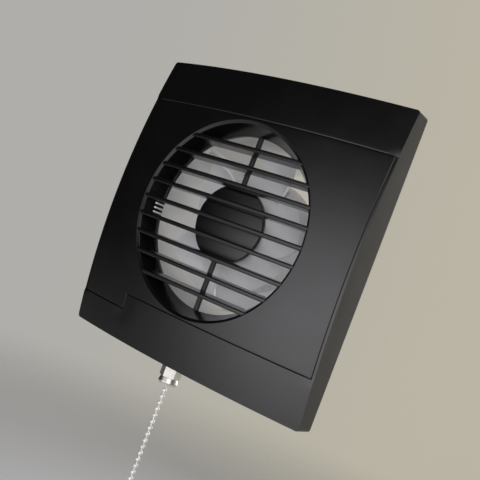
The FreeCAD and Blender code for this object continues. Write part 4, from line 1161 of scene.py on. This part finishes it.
@dataclass
class PullSwitch:
    """What shows of the pull switch under the lower edge: the nut, the flared mouth and the bush.

    The chamfer's corners are a step out from the flats and a step in from the nut's end. The mouth's
    corners are a radius, a height above its lower end and a rounding.
    """

    line: PullLine
    nut_top: float = -0.0790
    nut_low: float = -0.0852
    nut_edge: float = 0.00018
    nut_sides: int = 6
    nut_steps: int = 72
    nut_smooth: float = 25.0
    flats: float = 0.0100
    clearance: float = 0.00002
    chamfer: tuple[Point, Point] = ((-0.0006, -MM), (0.0001, 0.0))
    chamfer_end: float = 0.0005
    chamfer_spare: float = 0.0002
    mouth_low: float = -0.0889
    mouth_seat: float = 0.00402
    mouth_steps: int = 64
    mouth: tuple[Triple, ...] = (
        (0.0053, 0.0012, 0.0005), (0.0047, 0.0, 0.0003), (0.0034, 0.0, 0.0004),
        (0.0021, 0.00238, 0.0), (0.00402, 0.00238, 0.0),
    )
    mouth_neck: Point = (0.0047, 0.0002)

    def build_nut(self) -> Piece:
        """Returns the hexagon nut with chamfered corners and its bore."""
        low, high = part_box("switch_bush")
        bore = (high[0] - low[0]) / 2 + self.clearance
        corner = self.flats / math.sqrt(3)
        middle = self.line.at((self.nut_top + self.nut_low) / 2)
        nut = cylinder("gland_nut", self.nut_sides, corner, self.nut_top - self.nut_low, middle)
        soften(nut, self.nut_edge)
        ends = [(self.flats / 2 + out, up) for out, up in self.chamfer]
        ends.append((corner + self.chamfer_spare, self.chamfer_end))
        lower = [(radius, self.nut_low + up) for radius, up in ends]
        upper = [(radius, self.nut_top - up) for radius, up in reversed(ends)]
        barrel = [(bore, lower[0][1]), *lower, *upper, (bore, upper[-1][1])]
        carve(nut, self.line.spun("barrel", barrel, self.nut_steps), Cut.SHARED)
        smooth(nut, self.nut_smooth)
        return nut

    def build_mouth(self) -> Piece:
        """Returns the flared mouth that the chain comes out of."""
        neck, neck_round = self.mouth_neck
        made = self.line.spun("flared_mouth", rounded([
            (self.mouth_seat, self.nut_low, 0.0),
            (neck, self.nut_low, neck_round),
            *((radius, self.mouth_low + up, edge) for radius, up, edge in self.mouth),
        ]), self.mouth_steps)
        smooth(made)
        return made

    def build(self, fan: Fan) -> None:
        """Models the visible switch pieces and dresses them.

        Args:
            fan: the frame and the finishes.
        """
        fan.settle(self.build_nut(), Body.FAN, Slot.NICKEL, ["switch_nut"])
        fan.settle(self.build_mouth(), Body.FAN, Slot.NICKEL, ["bell_mouth"])
        fan.settle(fan.copy_of("switch_bush", "threaded_bush"), Body.FAN, Slot.NICKEL, ["switch_bush"])


@dataclass
class PullChain:
    """Ball chain that hangs from the switch, and the bell-shaped pull at its end.

    The bell's corners are a radius, a share of its height from its top and a rounding.
    """

    line: PullLine
    top: float = -0.0767
    low: float = -0.2229
    between: tuple[float, ...] = (-0.0900, -0.1200, -0.1550, -0.1900)
    route_cells: int = 24
    route_order: int = 3
    ball: float = 0.0013
    ball_cells: tuple[int, int] = (16, 12)
    pole_share: float = 0.9
    pole_squash: float = 0.93
    balls: int = 42
    link: float = 0.00045
    link_sides: int = 8
    waist: float = 0.8
    chain_smooth: float = 60.0
    bell_low: float = -0.2369
    bell_steps: int = 48
    bell: tuple[Triple, ...] = (
        (0.0, 0.0, 0.0), (0.0017, 0.0, 0.0004), (0.0017, 0.22, 0.0), (0.0024, 0.45, 0.0),
        (0.0033, 0.88, 0.0006), (0.0029, 1.0, 0.0003), (0.0, 1.0, 0.0),
    )

    def route(self) -> list[Vector]:
        """Returns points along the chain's hanging line, read from its spline."""
        heights = (self.top, *self.between, self.low)
        curve = bpy.data.curves.new("chain_route", "CURVE")
        curve.dimensions = "3D"
        curve.resolution_u = self.route_cells
        spline = curve.splines.new("NURBS")
        spline.points.add(len(heights) - 1)
        for point, height in zip(spline.points, heights):
            point.co = (*self.line.at(height), 1.0)
        spline.order_u = self.route_order
        spline.use_endpoint_u = True
        holder = bpy.data.objects.new("chain_route", curve)
        bpy.context.scene.collection.objects.link(holder)
        line = bpy.data.meshes.new_from_object(holder)
        points = [vert.co.copy() for vert in line.vertices]
        bpy.data.objects.remove(holder)
        bpy.data.meshes.remove(line)
        return points

    def spots(self, route: Sequence[Vector]) -> list[Vector]:
        """Finds the middles of the balls, evenly spaced along the route.

        Args:
            route: points along the chain's line.

        Returns:
            The middle of each ball.
        """
        lengths = [0.0]
        for before, after in zip(route, route[1:]):
            lengths.append(lengths[-1] + (after - before).length)
        middles = []
        for index in range(self.balls):
            wanted = lengths[-1] * (index + 0.5) / self.balls
            spot = next(i for i, reached in enumerate(lengths) if reached >= wanted)
            share = (wanted - lengths[spot - 1]) / (lengths[spot] - lengths[spot - 1])
            middles.append(route[spot - 1].lerp(route[spot], share))
        return middles

    def build_ball(self) -> Piece:
        """Returns one ball, drawn in a little where the links enter."""
        around, upwards = self.ball_cells
        ball = started(
            bpy.ops.mesh.primitive_uv_sphere_add, "chain_ball",
            segments=around, ring_count=upwards, radius=self.ball,
        )
        with editing(ball):
            pick(ball, Element.VERT, lambda vert: abs(vert.co.z) > self.pole_share * self.ball)
            bpy.ops.transform.resize(value=(1, 1, self.pole_squash), center_override=(0, 0, 0))
        return ball

    def build_link(self, pitch: float) -> Piece:
        """Models one link that reaches from ball to ball, with a slight waist.

        Args:
            pitch: the distance between the middles of two balls.

        Returns:
            The link's object.
        """
        link = cylinder("chain_link", self.link_sides, self.link, pitch - self.ball)
        with editing(link):
            slice_at((0, 0, 0), (0, 0, 1))
            pick(link, Element.VERT, lambda vert: abs(vert.co.z) < MERGE)
            bpy.ops.transform.resize(value=(self.waist, self.waist, 1), center_override=(0, 0, 0))
        return link

    def build_bell(self) -> Piece:
        """Returns the turned pull at the chain's end."""
        tall = self.low - self.bell_low
        profile = [(radius, self.low - share * tall, edge) for radius, share, edge in self.bell]
        bell = self.line.spun("bell_pull", rounded(profile), self.bell_steps)
        smooth(bell)
        return bell

    def build(self, fan: Fan) -> None:
        """Args:
            fan: the frame and the finishes.
        """
        bell = fan.settle(self.build_bell(), Body.PULL, Slot.BELL, ["chain_bell"])
        route = self.route()
        middles = self.spots(route)
        ball = self.build_ball()
        link = self.build_link((middles[0] - middles[1]).length)
        parts = [copied(ball, spot) for spot in middles]
        parts += [copied(link, (spot + following) / 2) for spot, following in zip(middles, middles[1:])]
        for model in (ball, link):
            bpy.data.objects.remove(model)
        chain = combine("ball_chain", parts)
        smooth(chain, self.chain_smooth)
        fan.settle(chain, Body.PULL, Slot.NICKEL, ["pull_chain"], Slot.SATIN)
        self.line.at(self.top)


@dataclass
class Moulding:
    """Pale pieces behind the front: body, duct tube, motor bracket and the motor's cap."""

    edge: float = 0.00025

    def build(self, fan: Fan) -> None:
        """Copies the pale solids with softened edges and dresses them.

        Args:
            fan: the frame and the finishes.
        """
        copies = {
            "housing": "body_moulding", "duct_tube": "duct_tube_moulding",
            "motor_bracket": "bracket_moulding", "motor_cap": "pod_cap",
        }
        for node, name in copies.items():
            fan.settle(fan.copy_of(node, name, self.edge), Body.FAN, Slot.WHITE, [node])
        fan.settle(fan.copy_of("cable_grommet", "grommet"), Body.FAN, Slot.RUBBER, ["cable_grommet"])


@dataclass
class CapScrews:
    """Two screws with crossed slots that hold the motor's cap."""

    head: float = 0.0022
    crown: float = 0.0004
    crown_shares: Point = (0.6, 0.3)
    rim_share: float = 1.5
    rim_round: float = 0.0003
    seat_round: float = 0.0001
    shank: float = 0.0012
    length: float = 0.0070
    slot: float = 0.0005
    slot_reach: float = 0.0015
    slot_depth: float = 0.0008
    steps: int = 40
    round_steps: int = 3
    screw_smooth: float = 35.0

    def build_screw(self, x: float, seat: float, top: float) -> Piece:
        """Models one screw.

        Args:
            x: the place of its axis.
            seat: the place along Y of the face under its head.
            top: the place along Y of its head's top.

        Returns:
            The screw's object.
        """
        out, down = self.crown_shares
        profile = rounded([
            (0.0, top, 0.0),
            (self.head * out, top - self.crown * down, 0.0),
            (self.head, top - self.crown * self.rim_share, self.rim_round),
            (self.head, seat, self.seat_round),
            (self.shank, seat, 0.0),
            (self.shank, seat - self.length, 0.0),
            (0.0, seat - self.length, 0.0),
        ], self.round_steps)
        screw = turned("cap_screw", profile, Axis.DUCT, (x, 0.0, 0.0), self.steps)
        for across, up in ((self.slot_reach, self.slot / 2), (self.slot / 2, self.slot_reach)):
            low = (x - across, top - self.slot_depth, -up)
            carve(screw, block("slot", low, (x + across, top + self.slot_depth, up)))
        return screw

    def build(self, fan: Fan) -> None:
        """Models both screws and dresses them.

        Args:
            fan: the frame and the finishes.
        """
        low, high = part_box("motor_cap_screws")
        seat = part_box("motor_cap")[1][1]
        places = (low[0] + self.head, high[0] - self.head)
        screws = combine("cap_screws", [self.build_screw(x, seat, high[1]) for x in places])
        smooth(screws, self.screw_smooth)
        fan.settle(screws, Body.FAN, Slot.ZINC, ["motor_cap_screws"])


@dataclass
class Rotor:
    """Impeller: a hub that widens like a cone, with broad twisted blades.

    A pair of chord, camber or pitch holds the values at the blade's root and tip.
    """

    nose: float = 0.0195
    nose_rounds: Point = (0.0030, 0.0020)
    hub: float = 0.0323
    hub_steps: int = 128
    round_steps: int = 5
    front: float = -0.0070
    shoulder: float = 0.0060
    shoulder_rounds: Point = (0.0008, 0.0006)
    back: float = 0.0220
    wall: float = 0.0018
    edge: float = 0.0004
    bore: float = 0.0020
    recess: float = 0.0060
    recess_floor: float = -0.0030
    boss_back: float = 0.0120
    boss_rounds: Point = (0.0006, 0.0003)
    blades: int = 5
    root: float = 0.0170
    tip: float = 0.0450
    trim: float = 0.0440
    trim_steps: int = 160
    middle: float = 0.0075
    chord: Point = (0.0240, 0.0420)
    camber: Point = (0.0034, 0.0030)
    pitch: Point = (46.0, 24.0)
    sweep: float = 22.0
    thickness: float = 0.0015
    blade_edge: float = 0.0005
    blade_segments: int = 3
    blade_sharp: float = 60.0
    blade_cells: tuple[int, int] = (30, 24)

    def build_hub(self) -> Piece:
        """Returns the cup-shaped hub with its boss."""
        boss = self.recess + self.wall
        inner_front = self.front + self.wall
        return turned("hub", rounded([
            (self.bore, self.recess_floor, 0.0),
            (self.recess, self.recess_floor, self.edge),
            (self.recess, self.front, self.edge),
            (self.nose, self.front, self.nose_rounds[0]),
            (self.hub, self.shoulder, self.shoulder_rounds[0]),
            (self.hub, self.back, self.edge),
            (self.hub - self.wall, self.back, self.edge),
            (self.hub - self.wall, self.shoulder, self.shoulder_rounds[1]),
            (self.nose - self.wall, inner_front, self.nose_rounds[1]),
            (boss, inner_front, self.boss_rounds[0]),
            (boss, self.boss_back, self.boss_rounds[1]),
            (self.bore, self.boss_back, 0.0),
        ], self.round_steps), Axis.DUCT, steps=self.hub_steps)

    def blade_spot(self, span: float, along: float) -> Vector:
        """Returns a point of a blade's middle surface.

        Args:
            span: share of the way from the root to the tip.
            along: share of the half chord, from -1 to 1.

        Returns:
            The point in the fan's frame.
        """
        chord, camber, pitch = (
            first + (last - first) * span for first, last in (self.chord, self.camber, self.pitch)
        )
        radius = self.root + (self.tip - self.root) * span
        lean, turn = math.radians(pitch), math.radians(self.sweep * span ** 2)
        flat, lift = along * chord / 2, camber * (1 - along ** 2)
        around = flat * math.cos(lean) - lift * math.sin(lean)
        depth = flat * math.sin(lean) + lift * math.cos(lean)
        return Vector((
            radius * math.cos(turn) - around * math.sin(turn),
            self.middle + depth,
            radius * math.sin(turn) + around * math.cos(turn),
        ))

    def build_blade(self) -> Piece:
        """Returns one twisted blade, trimmed at the hub and at the tip."""
        blade = sheet_grid("blade", (0.0, 1.0), (-1.0, 1.0), self.blade_cells)
        for vert in blade.data.vertices:
            vert.co = self.blade_spot(vert.co.x, vert.co.z)
        apply_modifier(blade, "SOLIDIFY", thickness=self.thickness, offset=0.0, use_even_offset=True)
        with editing(blade):
            face_outwards()
        soften(blade, self.blade_edge, self.blade_segments, self.blade_sharp)
        half = self.wall / 2
        sweep = turned("sweep", [
            (self.nose - half, self.front),
            (self.hub - half, self.shoulder),
            (self.hub - half, self.back),
            (self.trim, self.back),
            (self.trim, self.front),
        ], Axis.DUCT, steps=self.trim_steps)
        carve(blade, sweep, Cut.SHARED)
        return blade

    def build(self, fan: Fan) -> None:
        """Models the impeller and dresses it.

        Args:
            fan: the frame and the finishes.
        """
        blade = self.build_blade()
        turns = [2 * math.pi * index / self.blades for index in range(1, self.blades)]
        copies = [copied(blade, turn=(0.0, turn, 0.0)) for turn in turns]
        wheel = combine("fan_wheel", [self.build_hub(), blade, *copies])
        smooth(wheel)
        fan.settle(wheel, Body.ROTOR, Slot.IMPELLER, ["impeller"])


class InnerPieces:
    """Solids inside the pod and under the cover, which keep their shape."""

    def build(self, fan: Fan) -> None:
        """Gives each solid that still shows the finish of its own slot.

        Args:
            fan: the frame and the finishes.
        """
        slots = {item["node"]: item["material_slot"] for item in fan.frame["record"]["subparts"]}
        for name, node in fan.frame["nodes"].items():
            if not node.hide_render:
                fan.finishes.dress(node, slots[name])
                LOG.info("%s: dressed as %s", name, slots[name])


@dataclass(frozen=True)
class Softbox:
    """One soft light that is aimed at the fan and that the camera does not see."""

    name: str
    spot: Triple
    size: Point
    brightness: float
    colour: Colour

    def build(self) -> None:
        """Adds the light, with a power that gives its face the brightness."""
        data = bpy.data.lights.new(self.name, "AREA")
        data.shape = "RECTANGLE"
        data.size, data.size_y = self.size
        data.energy = self.brightness * math.pi * self.size[0] * self.size[1]
        data.color = self.colour
        lamp = bpy.data.objects.new(self.name, data)
        lamp.location = self.spot
        lamp.rotation_mode = "QUATERNION"
        lamp.rotation_quaternion = (-Vector(self.spot)).to_track_quat("-Z", "Y")
        lamp.visible_camera = False
        bpy.context.scene.collection.objects.link(lamp)


@dataclass
class Sky:
    """Surroundings: a pale backdrop behind, a dark room in front and one soft glow low in front.

    A span holds the parts of a direction at which one colour starts and has taken over.
    """

    cool: Colour = (0.425, 0.420, 0.405)
    warm: Colour = (0.490, 0.458, 0.370)
    warm_span: Point = (-0.85, -0.28)
    side: Colour = (0.50, 0.475, 0.415)
    side_span: Point = (-0.20, 0.35)
    shade: float = 0.98
    shade_span: Point = (-0.36, -0.05)
    room: Colour = (0.010, 0.010, 0.011)
    table: Colour = (0.58, 0.575, 0.57)
    table_span: Point = (-0.10, -0.85)
    backdrop_span: Point = (0.15, 0.50)
    glow: Colour = (2.85, 2.82, 2.92)
    glow_towards: Triple = (-0.131, -1.0, -0.21)
    glow_stretch: Triple = (1.03, 1.0, 1.17)
    glow_span: Point = (0.48, 1.0)
    glow_fall: float = 4.5

    def glow_share(self, nodes: Nodes, towards: Socket) -> Socket:
        """Works out how much of the glow there is in a direction.

        Args:
            nodes: the world's node tree.
            towards: the direction.

        Returns:
            The share of the glow.
        """
        kind = "ShaderNodeVectorMath"
        drawn = nodes.add(kind, {0: towards, 1: self.glow_stretch}, operation="MULTIPLY")
        unit = nodes.add(kind, {0: drawn.outputs["Vector"]}, operation="NORMALIZE")
        centre = Vector(self.glow_towards).normalized()
        near = nodes.add(kind, {0: unit.outputs["Vector"], 1: centre}, operation="DOT_PRODUCT")
        share = nodes.ramp(near.outputs["Value"], self.glow_span, Growth.STRAIGHT)
        return nodes.add("ShaderNodeMath", {0: share, 1: self.glow_fall}, operation="POWER").outputs["Value"]

    def build(self) -> None:
        """Colours the surroundings by direction."""
        world = bpy.data.worlds.new("studio")
        bpy.context.scene.world = world
        world.use_nodes = True
        nodes = Nodes(world.node_tree)
        towards = nodes.add("ShaderNodeTexCoord", {}).outputs["Generated"]
        x, y, z = nodes.add("ShaderNodeSeparateXYZ", {"Vector": towards}).outputs
        pale = nodes.mix(nodes.ramp(x, self.warm_span), self.cool, self.warm)
        pale = nodes.mix(nodes.ramp(x, self.side_span), pale, self.side)
        shaded = nodes.mix(1.0, pale, (self.shade,) * 3, Blend.TIMES)
        pale = nodes.mix(nodes.ramp(z, self.shade_span), shaded, pale)
        front = nodes.mix(self.glow_share(nodes, towards), self.room, self.glow)
        low = nodes.ramp(z, self.table_span, Growth.STRAIGHT)
        front = nodes.mix(low, front, self.table, Blend.ADDED)
        around = nodes.mix(nodes.ramp(y, self.backdrop_span), front, pale)
        rays = nodes.add("ShaderNodeLightPath", {})
        seen = nodes.mix(rays.outputs["Is Camera Ray"], around, pale)
        nodes.feed(world.node_tree.nodes["Background"].inputs["Color"], seen)


@dataclass
class Studio:
    """Pale floor, soft lights, surroundings and the camera."""

    floor_height: float = -0.30
    floor_size: float = 8.0
    floor_colour: Colour = (0.66, 0.665, 0.69)
    floor_roughness: float = 0.9
    floor_gloss: float = 0.1
    floor_fade: Point = (0.35, 1.15)
    position: Triple = (0.2357, -0.3234, -0.0139)
    right: Triple = (0.7609, 0.5405, 0.3590)
    down: Triple = (0.2793, 0.2264, -0.9331)
    ahead: Triple = (-0.5857, 0.8103, 0.0213)
    lens: float = 56.61
    sensor: float = 36.0
    lights: tuple[Softbox, ...] = (
        Softbox("right_front", (0.58, -0.52, 0.06), (0.66, 0.72), 1.75, (1.0, 0.99, 0.98)),
        Softbox("front_high", (0.44, -0.62, 0.46), (0.48, 0.40), 4.4, (1.0, 0.995, 1.0)),
        Softbox("duct_back", (0.02, 0.48, 0.04), (0.34, 0.34), 3.5, (1.0, 0.99, 0.985)),
        Softbox("above", (-0.25, 0.30, 0.85), (0.70, 0.60), 2.0, (1.0, 0.99, 0.98)),
    )

    def build_camera(self) -> None:
        """Places the camera at the photograph's viewing angle."""
        data = bpy.data.cameras.new("camera")
        data.lens = self.lens
        data.sensor_width = self.sensor
        camera = bpy.data.objects.new("camera", data)
        turn = Matrix((self.right, -Vector(self.down), -Vector(self.ahead))).transposed().to_4x4()
        camera.matrix_world = Matrix.Translation(self.position) @ turn
        bpy.context.scene.collection.objects.link(camera)
        bpy.context.scene.camera = camera

    def build_floor(self) -> None:
        """Lays a pale floor below the chain, which fades into the backdrop far away."""
        middle = (0.0, 0.0, self.floor_height)
        floor = fixed(started(
            bpy.ops.mesh.primitive_plane_add, "floor", size=self.floor_size, location=middle,
        ))
        bench = Bench("pale_floor")
        apart = bench.add("ShaderNodeVectorMath", {0: bench.place, 1: middle}, operation="DISTANCE")
        bench.put({
            "Base Color": (*self.floor_colour, 1.0),
            "Roughness": self.floor_roughness,
            "Specular IOR Level": self.floor_gloss,
            "Alpha": bench.ramp(apart.outputs["Value"], self.floor_fade, result=(1.0, 0.0)),
        })
        floor.data.materials.append(bench.material)
        floor.visible_diffuse = floor.visible_glossy = floor.visible_shadow = False

    def build(self) -> None:
        """Builds the studio."""
        bpy.context.scene.view_settings.view_transform = "Standard"
        self.build_camera()
        self.build_floor()
        Sky().build()
        for light in self.lights:
            light.build()


def main() -> None:
    """Builds every sub-assembly around the loaded frame."""
    logging.basicConfig(level=logging.INFO, format="%(message)s")
    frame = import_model()
    fan = Fan(frame, Finishes())
    shape, keys, line = FrontShape(), Keys(), PullLine()
    front = (CoverFrame(shape), GrillePanel(shape, keys), ThroatGuard(keys), PullSwitch(line))
    for assembly in (PullChain(line), *front, Moulding(), CapScrews(), Rotor(), InnerPieces()):
        assembly.build(fan)
    Studio().build()


if __name__ == "__main__":
    main()
